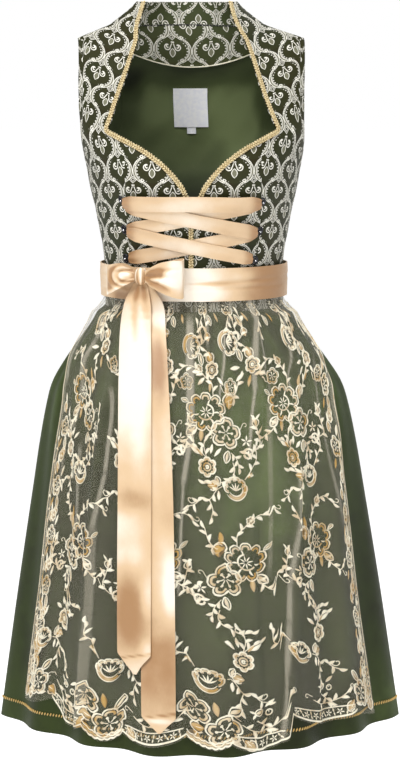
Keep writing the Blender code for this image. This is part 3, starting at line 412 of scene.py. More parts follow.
def cloth(name, outer, thickness, material, across=None, down=None, wrap=False, shades=None):
    """A cloth wall: outer points, the same moved in by its thickness, and closed edges. Its UV map holds
    metres of flat cloth."""
    rows, columns = outer.shape[:2]
    inner = moved(outer, -thickness, wrap)
    if across is None:
        across = run_across(outer)
        across = across - across[:, columns // 2:columns // 2 + 1]
    if down is None:
        down = -run_down(outer)
    index = np.arange(rows * columns).reshape(rows, columns)
    cap = index if not wrap else np.concatenate([index, index[:, :1]], axis=1)
    a, b, c, d = cap[:-1, :-1], cap[1:, :-1], cap[1:, 1:], cap[:-1, 1:]
    faces = np.stack([a, b, c, d], axis=-1).reshape(-1, 4)
    under = np.stack([a, d, c, b], axis=-1).reshape(-1, 4) + rows * columns
    rims = [cap[0, ::-1], cap[-1, :]]
    if not wrap:
        rims += [index[:, 0], index[::-1, -1]]
    edges = []
    for rim in rims:
        start, end = rim[:-1], rim[1:]
        edges.append(np.stack([start, start + rows * columns, end + rows * columns, end], axis=-1))
    faces = np.concatenate([faces, under] + edges)
    points = np.concatenate([outer.reshape(-1, 3), inner.reshape(-1, 3)]) * METRES
    mesh = bpy.data.meshes.new(name)
    mesh.vertices.add(len(points))
    mesh.vertices.foreach_set("co", points.ravel())
    mesh.loops.add(faces.size)
    mesh.loops.foreach_set("vertex_index", faces.ravel())
    mesh.polygons.add(len(faces))
    mesh.polygons.foreach_set("loop_start", np.arange(0, faces.size, 4))
    mesh.update(calc_edges=True)
    flat = np.stack([across, down], axis=-1).reshape(-1, 2) * METRES
    flat = np.concatenate([flat, flat])[faces.ravel()]
    mesh.uv_layers.new(name="UVMap").data.foreach_set("uv", flat.ravel())
    if shades is not None:
        layer = mesh.attributes.new("shade", "FLOAT", "POINT")
        layer.data.foreach_set("value", np.concatenate([shades.ravel(), shades.ravel()]))
    mesh.shade_smooth()
    mesh.set_sharp_from_angle(angle=math.radians(60))
    mesh.materials.append(material)
    return new_object(name, mesh)


def ripple(u, v, seed, size):
    """Soft unevenness of cloth, in waves about this long."""
    chance = np.random.RandomState(seed)
    total = 0.0
    for _ in range(7):
        turn, start, scale = chance.uniform(0, 2 * math.pi), chance.uniform(0, 6.3), chance.uniform(0.6, 1.8)
        along_wave = u * math.cos(turn) + v * math.sin(turn)
        total = total + np.sin(along_wave * 2 * math.pi / (size * scale) + start)
    return total / 3.5


# Finishes: each material's pattern is worked out in millimetres of cloth

def tint(code):
    """A linear colour from its usual six-figure code."""
    parts = [int(code[k:k + 2], 16) / 255 for k in (1, 3, 5)]
    return tuple(p / 12.92 if p <= 0.04045 else ((p + 0.055) / 1.055) ** 2.4 for p in parts) + (1.0,)


class Field:
    """A number that varies over a surface. Arithmetic on fields adds nodes to their tree."""

    def __init__(self, tree, socket):
        self.tree, self.socket = tree, socket

    def math(self, operation, *others, hold=False):
        node = self.tree.nodes.new("ShaderNodeMath")
        node.operation, node.use_clamp = operation, hold
        for slot, value in zip(node.inputs, (self,) + others):
            if isinstance(value, Field):
                self.tree.links.new(value.socket, slot)
            else:
                slot.default_value = value
        return Field(self.tree, node.outputs[0])

    def __add__(self, other):
        return self.math("ADD", other)

    def __sub__(self, other):
        return self.math("SUBTRACT", other)

    def __mul__(self, other):
        return self.math("MULTIPLY", other)

    def __truediv__(self, other):
        return self.math("DIVIDE", other)

    def __abs__(self):
        return self.math("ABSOLUTE")

    def least(self, other):
        return self.math("MINIMUM", other)

    def most(self, other):
        return self.math("MAXIMUM", other)

    def wave(self, length):
        return (self * (2 * math.pi / length)).math("SINE")

    def repeat(self, length, start=0.0):
        """Its place within a repeat of this length, from minus to plus half of it."""
        return (self - start) - ((self - start) / length).math("ROUND") * length

    def within(self, limit=0.0, soft=0.18):
        """1 where it is under the limit, with a soft edge."""
        return (self - (limit + soft)).math("MULTIPLY", -0.5 / soft, hold=True)


def span(x, y):
    return (x * x + y * y).math("SQRT")


class Look:
    """A material, with the few nodes that its patterns are written in."""

    def __init__(self, name, roughness=0.6, **sockets):
        self.material = bpy.data.materials.new(name)
        self.material.use_nodes = True
        self.tree = self.material.node_tree
        self.shader = self.tree.nodes["Principled BSDF"]
        self.set(Roughness=roughness, **sockets)

    def set(self, **sockets):
        for key, value in sockets.items():
            self.shader.inputs[key.replace("_", " ")].default_value = value

    def link(self, source, target):
        self.tree.links.new(source.socket if isinstance(source, Field) else source, target)

    def places(self, output, scale=1000.0):
        """The coordinates that a pattern reads, in millimetres."""
        coords = self.tree.nodes.new("ShaderNodeTexCoord")
        split = self.tree.nodes.new("ShaderNodeSeparateXYZ")
        self.link(coords.outputs[output], split.inputs[0])
        return tuple(Field(self.tree, socket) * scale for socket in split.outputs)

    def attribute(self, name):
        node = self.tree.nodes.new("ShaderNodeAttribute")
        node.attribute_name = name
        return Field(self.tree, node.outputs["Fac"])

    def noise(self, size, detail=2.0, stretch=(1, 1, 1), output="Object"):
        """Soft unevenness about this many millimetres across, from 0 to 1."""
        coords = self.tree.nodes.new("ShaderNodeTexCoord")
        place = self.tree.nodes.new("ShaderNodeMapping")
        place.inputs["Scale"].default_value = [1000 / (size * part) for part in stretch]
        self.link(coords.outputs[output], place.inputs["Vector"])
        node = self.tree.nodes.new("ShaderNodeTexNoise")
        node.inputs["Scale"].default_value = 1.0
        node.inputs["Detail"].default_value = detail
        self.link(place.outputs[0], node.inputs["Vector"])
        return Field(self.tree, node.outputs["Fac"])

    def blend(self, share, first, second):
        node = self.tree.nodes.new("ShaderNodeMix")
        node.data_type = "RGBA"
        self.link(share, node.inputs["Factor"])
        for value, slot in ((first, node.inputs["A"]), (second, node.inputs["B"])):
            if isinstance(value, tuple):
                slot.default_value = value
            else:
                self.link(value, slot)
        return node.outputs["Result"]

    def colour(self, socket):
        self.link(socket, self.shader.inputs["Base Color"])

    def bump(self, height, depth):
        """Relief of this many millimetres."""
        node = self.tree.nodes.new("ShaderNodeBump")
        node.inputs["Distance"].default_value = depth * METRES
        self.link(height, node.inputs["Height"])
        self.link(node.outputs["Normal"], self.shader.inputs["Normal"])

    def ease(self, field, low, high):
        """The field's span from low to high as 0 to 1."""
        node = self.tree.nodes.new("ShaderNodeMapRange")
        node.interpolation_type = "SMOOTHSTEP"
        self.link(field, node.inputs["Value"])
        node.inputs["From Min"].default_value, node.inputs["From Max"].default_value = low, high
        return Field(self.tree, node.outputs["Result"])


def shader_group(name, given, made):
    """An empty node group with these named numbers going in and out."""
    tree = bpy.data.node_groups.new(name, "ShaderNodeTree")
    for names, way in ((given, "INPUT"), (made, "OUTPUT")):
        for label in names:
            tree.interface.new_socket(label, in_out=way, socket_type="NodeSocketFloat")
    start, end = tree.nodes.new("NodeGroupInput"), tree.nodes.new("NodeGroupOutput")
    return tree, [Field(tree, start.outputs[label]) for label in given], end


REPEAT_WIDE, REPEAT_HIGH = 52.0, 61.0


def lily_motif():
    """One woven motif about its own centre, in millimetres: a lily between two scrolled arcs, under a
    small lozenge. Line is the pale thread, Grey the half-tone thread and Heart the ground inside."""
    tree, (across, up), end = shader_group("lily_motif", ("Across", "Up"), ("Line", "Grey", "Heart"))
    side = abs(across)
    curl = abs(span(side - 7.0, up + 0.2) - 3.8).within(0.7) * ((up - 1.8) * 0.75 - (side - 4.9)).within()
    comma = abs(span(side - 6.4, up - 1.2) - 2.0).within(0.8) * (side * -1 + 5.6).within(0.0, 0.6)
    stalk = abs((side - 1.1) * 0.94 + (up - 5.0) * 0.34).within(0.6) * abs(up - 1.8).within(3.3)
    bar = (side - 2.2).within() * abs(up - 6.8).within(0.8)
    along_leaf = (up + 7.6) / 6.3
    rim = side - (along_leaf * along_leaf * -4.1 + 4.1)
    leaf_line = abs(rim + 0.5).within(0.6) * abs(along_leaf).within(1.03, 0.05)
    leaf_fill = (rim + 1.0).within()
    lozenge = side / 5.4 + abs(up - 14.2) / 5.0
    lozenge_line = abs(lozenge - 0.90).within(0.10, 0.05).most(abs(lozenge - 0.45).within(0.09, 0.05))
    rise = up + 5.0
    top = rise.math("GREATER_THAN", 0.0)
    oval = span(side / 26.2, rise / (top * 2.5 + 18.6))
    running = (top * -5.0 + 13.5 - side).within() * (oval * -1 + 0.70).within(0.0, 0.01)
    turn = rise.math("ARCTAN2", side)
    outer = abs(oval - 0.975).within(0.020, 0.008) * running
    inner = abs(oval - 0.875).within(0.013, 0.008) * running
    between = abs(oval - 0.925).within(0.035, 0.01) * running
    dashes = abs(turn.repeat(0.11)).within(0.028, 0.01) * (turn * -1 + 0.25).within(0.0, 0.05)
    thick = abs(oval - 0.835).within(0.032, 0.01) * abs(turn.repeat(0.07)).within(0.024, 0.01)
    thick = thick * abs(turn + 0.12).within(0.42, 0.06)
    beads = span(turn.repeat(0.21) * 19.0, (oval - 0.765) * 24.0).within(0.85) * abs(turn + 0.15).within(0.85)
    hook = abs(span(side - 12.8, up + 17.2) - 1.7).within(0.55) * (up * -1 - 19.4).within()
    line = curl.most(comma).most(stalk).most(bar).most(leaf_line).most(lozenge_line).most(outer).most(inner)
    line = line.most(between * dashes).most(thick).most(beads * running.most(1.0)).most(hook)
    grey = (leaf_fill * 0.8).most(between * 0.75).most(abs(lozenge - 0.68).within(0.14, 0.04) * 0.3)
    tree.links.new(line.socket, end.inputs["Line"])
    tree.links.new(grey.socket, end.inputs["Grey"])
    tree.links.new(oval.within(0.84, 0.02).socket, end.inputs["Heart"])
    return tree


def jacquard_look(name, motif, brown="#2c260a", green="#282c12", heart_green="#33381a", up_start=0.0):
    """Green and brown figured cloth with a pale half-drop pattern."""
    look = Look(name, 0.6, Specular_IOR_Level=0.2, Sheen_Weight=0.03, Sheen_Roughness=0.4)
    u, v, _ = look.places("UV")
    layers = []
    for half in (0.0, 0.5):
        node = look.tree.nodes.new("ShaderNodeGroup")
        node.node_tree = motif
        look.link(u.repeat(REPEAT_WIDE, half * REPEAT_WIDE), node.inputs["Across"])
        look.link(v.repeat(REPEAT_HIGH, up_start + half * REPEAT_HIGH), node.inputs["Up"])
        layers.append([Field(look.tree, node.outputs[label]) for label in ("Line", "Grey", "Heart")])
    line, grey, heart = (first.most(second) for first, second in zip(*layers))
    cloud = look.noise(70, 3)
    fleck = look.noise(1.1, 2, output="UV")
    rib = abs(v.wave(1.0)) * 0.5 + abs(u.wave(1.3)) * 0.3 + fleck * 0.4
    ground = look.blend(look.ease(cloud, 0.4, 0.6), tint(brown), tint(green))
    ground = look.blend(heart * 0.5, ground, tint(heart_green))
    ground = look.blend(fleck * 0.5, ground, tint("#25220c"))
    half_tone = look.blend(fleck, tint("#6f6f58"), tint("#9b9a84"))
    pale = look.blend(look.ease(fleck, 0.3, 0.7), tint("#dedac8"), tint("#fbf9f2"))
    look.colour(look.blend(line, look.blend(grey * 0.85, ground, half_tone), pale))
    look.bump(line * 1.0 + grey * 0.4 + rib * 0.25, 0.35)
    return look.material


def satin_look(name, base, shade, light, roughness, fine, sheen_mottle=0.6, glow=0.5):
    """Satin: a smooth face with fine threads. Its shade attribute holds painted light: above 0 a painted
    highlight towards the light tint where the cloth shines, below 0 painted shade towards the shade tint in
    its folds. A soft cloud of random tone breaks both and so also varies the painted sheen."""
    look = Look(name, roughness, Specular_IOR_Level=glow, Sheen_Weight=0.12 * glow, Sheen_Roughness=0.35,
                Anisotropic=0.4)
    v = look.places("UV")[1]
    cloud = look.noise(26, 3) - 0.5
    thread = look.noise(2.4, 3, stretch=(0.15, 3.0, 1.0), output="UV") - 0.5
    # Painted light: the shade attribute's painted highlights and shade, broken by a soft cloud of random tone
    # and fine thread streaks
    painted_light = look.attribute("shade") + cloud * sheen_mottle + thread * 0.25
    middle = look.blend(look.ease(painted_light, -0.9, 0.1), tint(shade), tint(base))
    look.colour(look.blend(look.ease(painted_light, 0.0, 1.0), middle, tint(light)))
    look.bump(abs(v.wave(fine)) * 0.35 + thread * 0.8, 0.09)
    return look.material


def tulle_look():
    """Fine net: holes between threads, closer together where the cloth lies in folds."""
    look = Look("apron_tulle", 0.75, Specular_IOR_Level=0.3, Sheen_Weight=0.3, Sheen_Roughness=0.5)
    u, v, _ = look.places("UV")
    fold = look.attribute("shade")
    pitch = 1.5
    first = abs(((u + v * 0.58).repeat(pitch)))
    second = abs(((u - v * 0.58).repeat(pitch)))
    third = abs(v.repeat(pitch * 0.866))
    thread = first.least(second).least(third).within(0.07, 0.06)
    cover = thread * 0.30 + fold * 0.75 + 0.06
    look.link(cover.math("MINIMUM", 0.92), look.shader.inputs["Alpha"])
    look.colour(look.blend(fold.math("MULTIPLY", 1.2, hold=True), tint("#989480"), tint("#d9d0bd")))
    look.bump(thread, 0.1)
    return look.material


def thread_look(name, pale, deep, dark, drift):
    """Embroidery thread: close satin stitches between two dyes, which drift into each other."""
    look = Look(name, 0.42, Specular_IOR_Level=0.5, Sheen_Weight=0.25, Sheen_Roughness=0.3)
    tone = look.attribute("shade")
    grain = look.noise(1.0, 2, stretch=(0.35, 0.35, 1.6))
    tone = tone + look.ease(look.noise(24, 2), 0.48, 0.68) * drift
    base = look.blend(tone.math("MULTIPLY", 1.0, hold=True), tint(pale), tint(deep))
    look.colour(look.blend(look.ease(grain, 0.5, 0.8) * 0.45, base, tint(dark)))
    look.bump(grain, 0.3)
    return look.material


def gimp_look(name, deep, pale):
    look = Look(name, 0.5, Specular_IOR_Level=0.45, Sheen_Weight=0.2)
    grain = look.noise(1.2, 3)
    look.colour(look.blend(look.ease(grain, 0.3, 0.7), tint(deep), tint(pale)))
    look.bump(grain, 0.4)
    return look.material


def weave_look(name, deep, pale):
    look = Look(name, 0.7, Sheen_Weight=0.15)
    u, v, _ = look.places("UV")
    rib = abs(v.wave(0.9)) * 0.6 + abs(u.wave(1.1)) * 0.4
    grain = look.noise(6, 2)
    look.colour(look.blend(look.ease(grain, 0.3, 0.7), tint(deep), tint(pale)))
    look.bump(rib, 0.12)
    return look.material


def metal_look(name, pale, deep, roughness):
    look = Look(name, roughness, Metallic=0.9)
    grain = look.noise(1.5, 3)
    look.colour(look.blend(grain, tint(deep), tint(pale)))
    look.bump(grain, 0.06)
    return look.material


def paper_look():
    look = Look("floor_paper", 0.9, Specular_IOR_Level=0.1)
    grain = look.noise(8, 3)
    look.colour(look.blend(grain, tint("#f4f4f4"), tint("#fbfbfb")))
    look.set(Emission_Color=(1, 1, 1, 1), Emission_Strength=0.5)
    return look.material


# Stitches, twists and knots that follow a path

def stitch_row_tree():
    """Geometry Nodes: small rounded stitches in a row along a path. The path's points carry the way out
    of the cloth, named out, and each stitch is as long, wide and high as asked, turned from the path."""
    tree = bpy.data.node_groups.new("stitch_row", "GeometryNodeTree")
    face = tree.interface
    face.new_socket("Path", in_out="INPUT", socket_type="NodeSocketGeometry")
    for label, value in (("Pitch", 0.003), ("Length", 0.004), ("Width", 0.0015), ("Height", 0.001),
                         ("Turn", 0.0), ("Unevenness", 0.1)):
        face.new_socket(label, in_out="INPUT", socket_type="NodeSocketFloat").default_value = value
    face.new_socket("Seed", in_out="INPUT", socket_type="NodeSocketInt").default_value = 3
    face.new_socket("Thread", in_out="INPUT", socket_type="NodeSocketMaterial")
    face.new_socket("Stitches", in_out="OUTPUT", socket_type="NodeSocketGeometry")
    nodes, link = tree.nodes, tree.links.new

    def node(kind, **settings):
        added = nodes.new(kind)
        for setting, value in settings.items():
            setattr(added, setting, value)
        return added

    given, made = nodes.new("NodeGroupInput"), nodes.new("NodeGroupOutput")
    curve = nodes.new("GeometryNodeMeshToCurve")
    link(given.outputs["Path"], curve.inputs["Mesh"])
    spread = node("GeometryNodeResampleCurve", mode="LENGTH")
    link(curve.outputs["Curve"], spread.inputs["Curve"])
    link(given.outputs["Pitch"], spread.inputs["Length"])
    ball = nodes.new("GeometryNodeMeshUVSphere")
    ball.inputs["Segments"].default_value, ball.inputs["Rings"].default_value = 8, 4
    ball.inputs["Radius"].default_value = 0.5
    smooth = nodes.new("GeometryNodeSetShadeSmooth")
    link(ball.outputs["Mesh"], smooth.inputs["Geometry"])
    out = node("GeometryNodeInputNamedAttribute", data_type="FLOAT_VECTOR")
    out.inputs["Name"].default_value = "out"
    stand = node("FunctionNodeAlignRotationToVector", axis="Z")
    link(out.outputs["Attribute"], stand.inputs["Vector"])
    tangent = nodes.new("GeometryNodeInputTangent")
    follow = node("FunctionNodeAlignRotationToVector", axis="X", pivot_axis="Z")
    link(stand.outputs["Rotation"], follow.inputs["Rotation"])
    link(tangent.outputs["Tangent"], follow.inputs["Vector"])
    lean = nodes.new("FunctionNodeAxisAngleToRotation")
    lean.inputs["Axis"].default_value = (0, 0, 1)
    link(given.outputs["Turn"], lean.inputs["Angle"])
    turned_row = node("FunctionNodeRotateRotation", rotation_space="LOCAL")
    link(follow.outputs["Rotation"], turned_row.inputs["Rotation"])
    link(lean.outputs["Rotation"], turned_row.inputs["Rotate By"])
    size = nodes.new("ShaderNodeCombineXYZ")
    for label, axis in (("Length", "X"), ("Width", "Y"), ("Height", "Z")):
        link(given.outputs[label], size.inputs[axis])
    chance = node("FunctionNodeRandomValue", data_type="FLOAT")
    link(given.outputs["Seed"], chance.inputs["Seed"])
    low, high = (node("ShaderNodeMath", operation=way) for way in ("SUBTRACT", "ADD"))
    low.inputs[0].default_value = high.inputs[0].default_value = 1.0
    chance_slots = [slot for slot in chance.inputs if slot.name in ("Min", "Max") and slot.type == "VALUE"]
    for sum_node, slot in zip((low, high), chance_slots):
        link(given.outputs["Unevenness"], sum_node.inputs[1])
        link(sum_node.outputs[0], slot)
    scaled = node("ShaderNodeVectorMath", operation="SCALE")
    link(size.outputs[0], scaled.inputs[0])
    link([slot for slot in chance.outputs if slot.type == "VALUE"][0], scaled.inputs["Scale"])
    place = nodes.new("GeometryNodeInstanceOnPoints")
    link(spread.outputs["Curve"], place.inputs["Points"])
    link(smooth.outputs["Geometry"], place.inputs["Instance"])
    link(turned_row.outputs["Rotation"], place.inputs["Rotation"])
    link(scaled.outputs[0], place.inputs["Scale"])
    real = nodes.new("GeometryNodeRealizeInstances")
    link(place.outputs["Instances"], real.inputs["Geometry"])
    paint = nodes.new("GeometryNodeSetMaterial")
    link(real.outputs["Geometry"], paint.inputs["Geometry"])
    link(given.outputs["Thread"], paint.inputs["Material"])
    link(paint.outputs["Geometry"], made.inputs["Stitches"])
    return tree


def stitch_row(tree, name, path, out, thread, **sizes):
    """The stitches of one path as a plain mesh; sizes are in millimetres, Turn in degrees."""
    mesh = bpy.data.meshes.new(name + "_path")
    steps = [(k, k + 1) for k in range(len(path) - 1)]
    mesh.from_pydata([tuple(point * METRES) for point in path], steps, [])
    mesh.attributes.new("out", "FLOAT_VECTOR", "POINT").data.foreach_set("vector", np.asarray(out).ravel())
    guide = new_object(name + "_path", mesh)
    rows = guide.modifiers.new("stitches", "NODES")
    rows.node_group = tree
    sockets = {item.name: item.identifier for item in tree.interface.items_tree if item.in_out == "INPUT"}
    for label, value in sizes.items():
        if label == "Turn":
            value = math.radians(value)
        elif label not in ("Seed", "Unevenness"):
            value = value * METRES
        rows[sockets[label]] = value
    rows[sockets["Thread"]] = thread
    bpy.context.view_layer.update()
    result = guide.evaluated_get(bpy.context.evaluated_depsgraph_get())
    made = bpy.data.meshes.new_from_object(result)
    made.name = name
    made.materials.clear()
    made.materials.append(thread)
    made.polygons.foreach_set("material_index", [0] * len(made.polygons))
    bpy.data.objects.remove(guide, do_unlink=True)
    return new_object(name, made)


def joined(name, pieces):
    """One object from several, their meshes put together."""
    work = bmesh.new()
    materials = []
    for piece in pieces:
        material = piece.data.materials[0]
        if material not in materials:
            materials.append(material)
        start = len(work.faces)
        work.from_mesh(piece.data)
        work.faces.ensure_lookup_table()
        for face in work.faces[start:]:
            face.material_index = materials.index(material)
        bpy.data.objects.remove(piece, do_unlink=True)
    mesh = bpy.data.meshes.new(name)
    work.to_mesh(mesh)
    work.free()
    for material in materials:
        mesh.materials.append(material)
    return new_object(name, mesh)


TWIST_PITCH, LOOP_PITCH = 3.5, 4.0


TWIST_LENGTH, TWIST_GIRTH, TWIST_TURN = 4.8, 2.4, 38
TWIST_SINK, BASE_SINK = 0.35, 0.5


def make_braid(tree, side, sign, gimp, ground):
    """A gimp braid: a flat base, two plies of slanted twists and a fine looped edge inside."""
    base_form = braid_strip(sign, BRAID_WIDTH, BRAID_LIFT + BRAID_THICKNESS - BASE_SINK)
    base = cloth("gimp_base_" + side, base_form, BRAID_THICKNESS - BASE_SINK, ground)
    rows = [base]
    strip = braid_strip(sign, BRAID_WIDTH, BRAID_LIFT + BRAID_THICKNESS - TWIST_SINK)
    out = normals(strip)
    inner = 0 if sign > 0 else -1
    for label, share, turn in (("in", 0.24, TWIST_TURN), ("out", 0.74, -TWIST_TURN)):
        column = int(round((strip.shape[1] - 1) * (share if sign > 0 else 1 - share)))
        rows.append(stitch_row(tree, f"twist_{label}_{side}", strip[:, column], out[:, column], gimp,
                               Pitch=TWIST_PITCH, Length=TWIST_LENGTH, Width=TWIST_GIRTH, Height=TWIST_GIRTH,
                               Turn=turn * sign, Unevenness=0.12, Seed=5))
    edge = strip[:, inner]
    rows.append(stitch_row(tree, "picot_" + side, edge, out[:, inner], gimp, Pitch=LOOP_PITCH, Length=2.3,
                           Width=2.2, Height=2.0, Turn=0, Unevenness=0.2, Seed=8))
    return joined("gimp_braid_" + side, rows)


HEM_STITCH_RISE = 25.0


def make_hem_stitches(tree, gold):
    """The row of gold stitches above the hem, all the way round."""
    level = HEM + HEM_STITCH_RISE
    rows = []
    for front in (True, False):
        place = np.linspace(-0.999, 0.999, 500)
        lift = broad_fold(place, level) + gather(place, level) + 0.5
        path = skirt_point(place, level, lift, front)
        ahead = skirt_point(place, level, lift + 1, front)
        if not front:
            path, ahead = path[::-1], ahead[::-1]
        rows.append(stitch_row(tree, "hem_row_%d" % front, path, unit(ahead - path), gold, Pitch=4.3,
                               Length=5.2, Width=2.3, Height=1.6, Turn=60, Unevenness=0.08, Seed=2))
    return joined("hem_stitches", rows)


def make_piping(path, weave):
    """A round cord along the facing's edge."""
    tangent = unit(np.gradient(path, axis=0))
    side = unit(np.cross(tangent, np.array([0, 0, 1.0])))
    up = np.cross(side, tangent)
    turn = -np.linspace(0, 2 * math.pi, 10, endpoint=False)
    spokes = side[:, None] * np.cos(turn)[None, :, None] + up[:, None] * np.sin(turn)[None, :, None]
    grid = path[:, None] + spokes * PIPING_RADIUS
    return tube("facing_piping_cord", grid, weave)


def finished(name, work, material):
    """The piece, its faces turned outward and smooth, in one material."""
    bmesh.ops.recalc_face_normals(work, faces=work.faces)
    mesh = bpy.data.meshes.new(name)
    work.to_mesh(mesh)
    work.free()
    mesh.shade_smooth()
    mesh.materials.append(material)
    return new_object(name, mesh)


def tube(name, grid, material, closed=False):
    """A closed round piece from rings of points."""
    count, sides = grid.shape[:2]
    work = bmesh.new()
    rings = [[work.verts.new(point * METRES) for point in line] for line in grid]
    for i in range(count if closed else count - 1):
        for k in range(sides):
            m, n = (k + 1) % sides, (i + 1) % count
            work.faces.new([rings[i][k], rings[n][k], rings[n][m], rings[i][m]])
    if not closed:
        work.faces.new(rings[0])
        work.faces.new(rings[-1][::-1])
    return finished(name, work, material)


def make_hook(hook, metal, silver):
    """An upright oval wire loop, a smaller one inside it and a silver bead on its front."""
    reach = hook.place - sway(hook.level)
    normal = front_normal(np.array(reach), np.array(hook.level))
    centre = on_front(np.array(hook.place), np.array(float(hook.level)), hook.lift)
    across = unit(np.cross(np.array([0, 0, 1.0]), normal))
    up = np.cross(normal, across)
    parts = []
    for wide, high, wire, lift in (
            (HOOK_WIDTH, HOOK_HEIGHT, HOOK_WIRE, 0.0),
            (INNER_WIDTH, INNER_HEIGHT, INNER_WIRE, INNER_LIFT)):
        turn = np.linspace(0, 2 * math.pi, 28, endpoint=False)[:, None, None]
        tilt = -np.linspace(0, 2 * math.pi, 10, endpoint=False)[None, :, None]
        spoke = across * np.cos(turn) * wide / 2 + up * np.sin(turn) * high / 2
        out = unit(across * np.cos(turn) * high + up * np.sin(turn) * wide)
        grid = centre + normal * lift + spoke + (out * np.cos(tilt) + normal * np.sin(tilt)) * wire
        parts.append(tube(hook.name + "_loop", grid, metal, closed=True))
    turn = np.linspace(0, 2 * math.pi, 12, endpoint=False)[None, :, None]
    tilt = np.linspace(0.15, math.pi - 0.15, 8)[:, None, None]
    bead = centre + normal * BEAD_LIFT + BEAD_RADIUS * (
        across * np.cos(turn) * np.sin(tilt) + up * np.sin(turn) * np.sin(tilt) + normal * np.cos(tilt))
    parts.append(tube(hook.name + "_bead", bead, silver))
    return joined(hook.name + "_wire", parts)


# Bodice fronts

SHELL, LINING, FACING, FACING_GAP, RIBBON, TULLE = 1.2, 0.9, 0.9, 1.1, 0.7, 0.5
SEAM_TURN, SEAM_DIP = 1.8, 0.6
SIDE_STEPS, SIDE_ROWS, CUP_STEPS, CUP_ROWS = 44, 104, 38, 90


def side_reach(level):
    """How far out the armhole edge or the side seam lies at a level."""
    return np.where(level > UNDERARM, read(ARMHOLE, level, "reach"), read(TORSO, level, "half_width"))


def front_rows(inner, outer, columns, sign):
    """Points across a front panel between its inner and outer edge, evenly spaced by angle. An edge is
    two lists, reach and level. Returns the points, and the reach and level of each."""
    share = np.linspace(0, 1, columns + 1)[None, :]
    (r0, l0), (r1, l1) = inner, outer
    level = mix(l0[:, None], l1[:, None], share)
    turn = mix(angle_of(r0, l0)[:, None], angle_of(r1, l1)[:, None], share)
    reach = read(TORSO, level, "half_width") * np.sin(turn)
    reach[:, -1] = r1
    points = front_point(sign * reach, level)
    if sign < 0:
        points, reach, level = points[:, ::-1], -reach[:, ::-1], level[:, ::-1]
    return points, reach, level


def side_edges(count):
    """The side front's inner and outer edge, as reach and level at even places down the panel."""
    tables = SIDE_TOP_ROWS + PRINCESS
    tip = ridge_level(SHOULDER_TIP)
    inner, outer_level, shoulder = [], [], []
    for row in SIDE_TOP_ROWS:
        inner.append((row.inner_reach, row.inner_level))
        on_shoulder = row.outer_level is None
        shoulder.append(row.outer_reach if on_shoulder else SHOULDER_TIP)
        outer_level.append(tip if on_shoulder else row.outer_level)
    for row in PRINCESS:
        inner.append((row.reach + SEAM_GAP, row.level))
        shoulder.append(SHOULDER_TIP)
        outer_level.append(row.side_level)
    where = np.linspace(0, len(tables) - 1, count)
    reaches, levels = (along([pair[k] for pair in inner], where) for k in (0, 1))
    ridge = along(shoulder, where)
    outer = along(outer_level, where)
    on_ridge = outer >= tip - 1e-6
    out_level = np.where(on_ridge, ridge_level(ridge), outer)
    out_reach = np.where(on_ridge, ridge, side_reach(outer))
    return (reaches, levels), (out_reach, out_level)


def edge_along(rows, where):
    """An edge's reach and level at these places down its table."""
    return along([row.reach for row in rows], where), along([row.level for row in rows], where)


def cup_edges(count):
    where = np.linspace(0, len(SWEETHEART) - 1, count)
    reach, level = edge_along(PRINCESS, where)
    return edge_along(SWEETHEART, where), (reach - SEAM_GAP, level)


def cloth_run(reach, level):
    """Flat cloth lengths on the front: out from the centre line, and up from the bust line."""
    share = np.linspace(0, 1, 25)
    out = front_point(np.abs(reach)[..., None] * share, level[..., None])
    across = np.linalg.norm(np.diff(out, axis=-2), axis=-1).sum(axis=-1)
    fall = front_point(np.abs(reach)[..., None], mix(CUP_LEVEL, level[..., None], share))
    up = np.linalg.norm(np.diff(fall, axis=-2), axis=-1).sum(axis=-1)
    return np.copysign(across, reach), np.copysign(up, level - CUP_LEVEL)


def seam_dip(across, down, left=True, right=True, top=False, foot=False):
    """Cloth turns in a little where it is sewn: a dip along the chosen edges, from lengths along the
    rows and columns."""
    dip = np.zeros_like(across)
    for wanted, away in ((left, across - across[:, :1]), (right, across[:, -1:] - across),
                         (top, down - down[:1]), (foot, down[-1:] - down)):
        if wanted:
            dip = np.maximum(dip, np.exp(-(np.abs(away) / SEAM_TURN) ** 2))
    return -SEAM_DIP * dip


def leaning(across, up, turn):
    """The cloth's own directions where it was cut leaning by this many degrees."""
    turn = math.radians(turn)
    return across * math.cos(turn) + up * math.sin(turn), up * math.cos(turn) - across * math.sin(turn)


SIDE_PIVOT, LAPEL_LEAN, PANEL_LEAN = (112.0, 42.0), 18.0, -8.0
LAPEL_BEND, LAPEL_BEND_LENGTH = 20, 50
Rumple = namedtuple("Rumple", "depth stretch seed size")
SIDE_RUMPLE, CUP_RUMPLE = Rumple(0.35, 1.6, 11, 46), Rumple(0.3, 1.8, 17, 50)


def sewn_panel(grid, across, up, sign, rumple):
    """A front panel turned in along its seams, its cloth a little uneven."""
    soft = rumple.depth * ripple(across, up * rumple.stretch, rumple.seed + sign, rumple.size)
    return moved(grid, seam_dip(run_across(grid), run_down(grid)) + soft)


def side_front(side, sign, jacquard):
    inner, outer = side_edges(SIDE_ROWS)
    grid, reach, level = front_rows(inner, outer, SIDE_STEPS, sign)
    seam = -1 if sign > 0 else 0
    grid[:, seam, 1] -= SEAM_GAP
    across, up = cloth_run(reach, level)
    lapel = leaning(np.abs(across) - SIDE_PIVOT[0], up - SIDE_PIVOT[1], LAPEL_LEAN)
    panel = leaning(np.abs(across) - SIDE_PIVOT[0], up - SIDE_PIVOT[1], PANEL_LEAN)
    share = clamp((up - LAPEL_BEND) / LAPEL_BEND_LENGTH)
    share = share * share * (3 - 2 * share)
    flat = [mix(low, high, share) + pivot for low, high, pivot in zip(panel, lapel, SIDE_PIVOT)]
    grid = sewn_panel(grid, across, up, sign, SIDE_RUMPLE)
    return cloth("bodice_side_" + side, grid, SHELL, jacquard, sign * flat[0], flat[1])


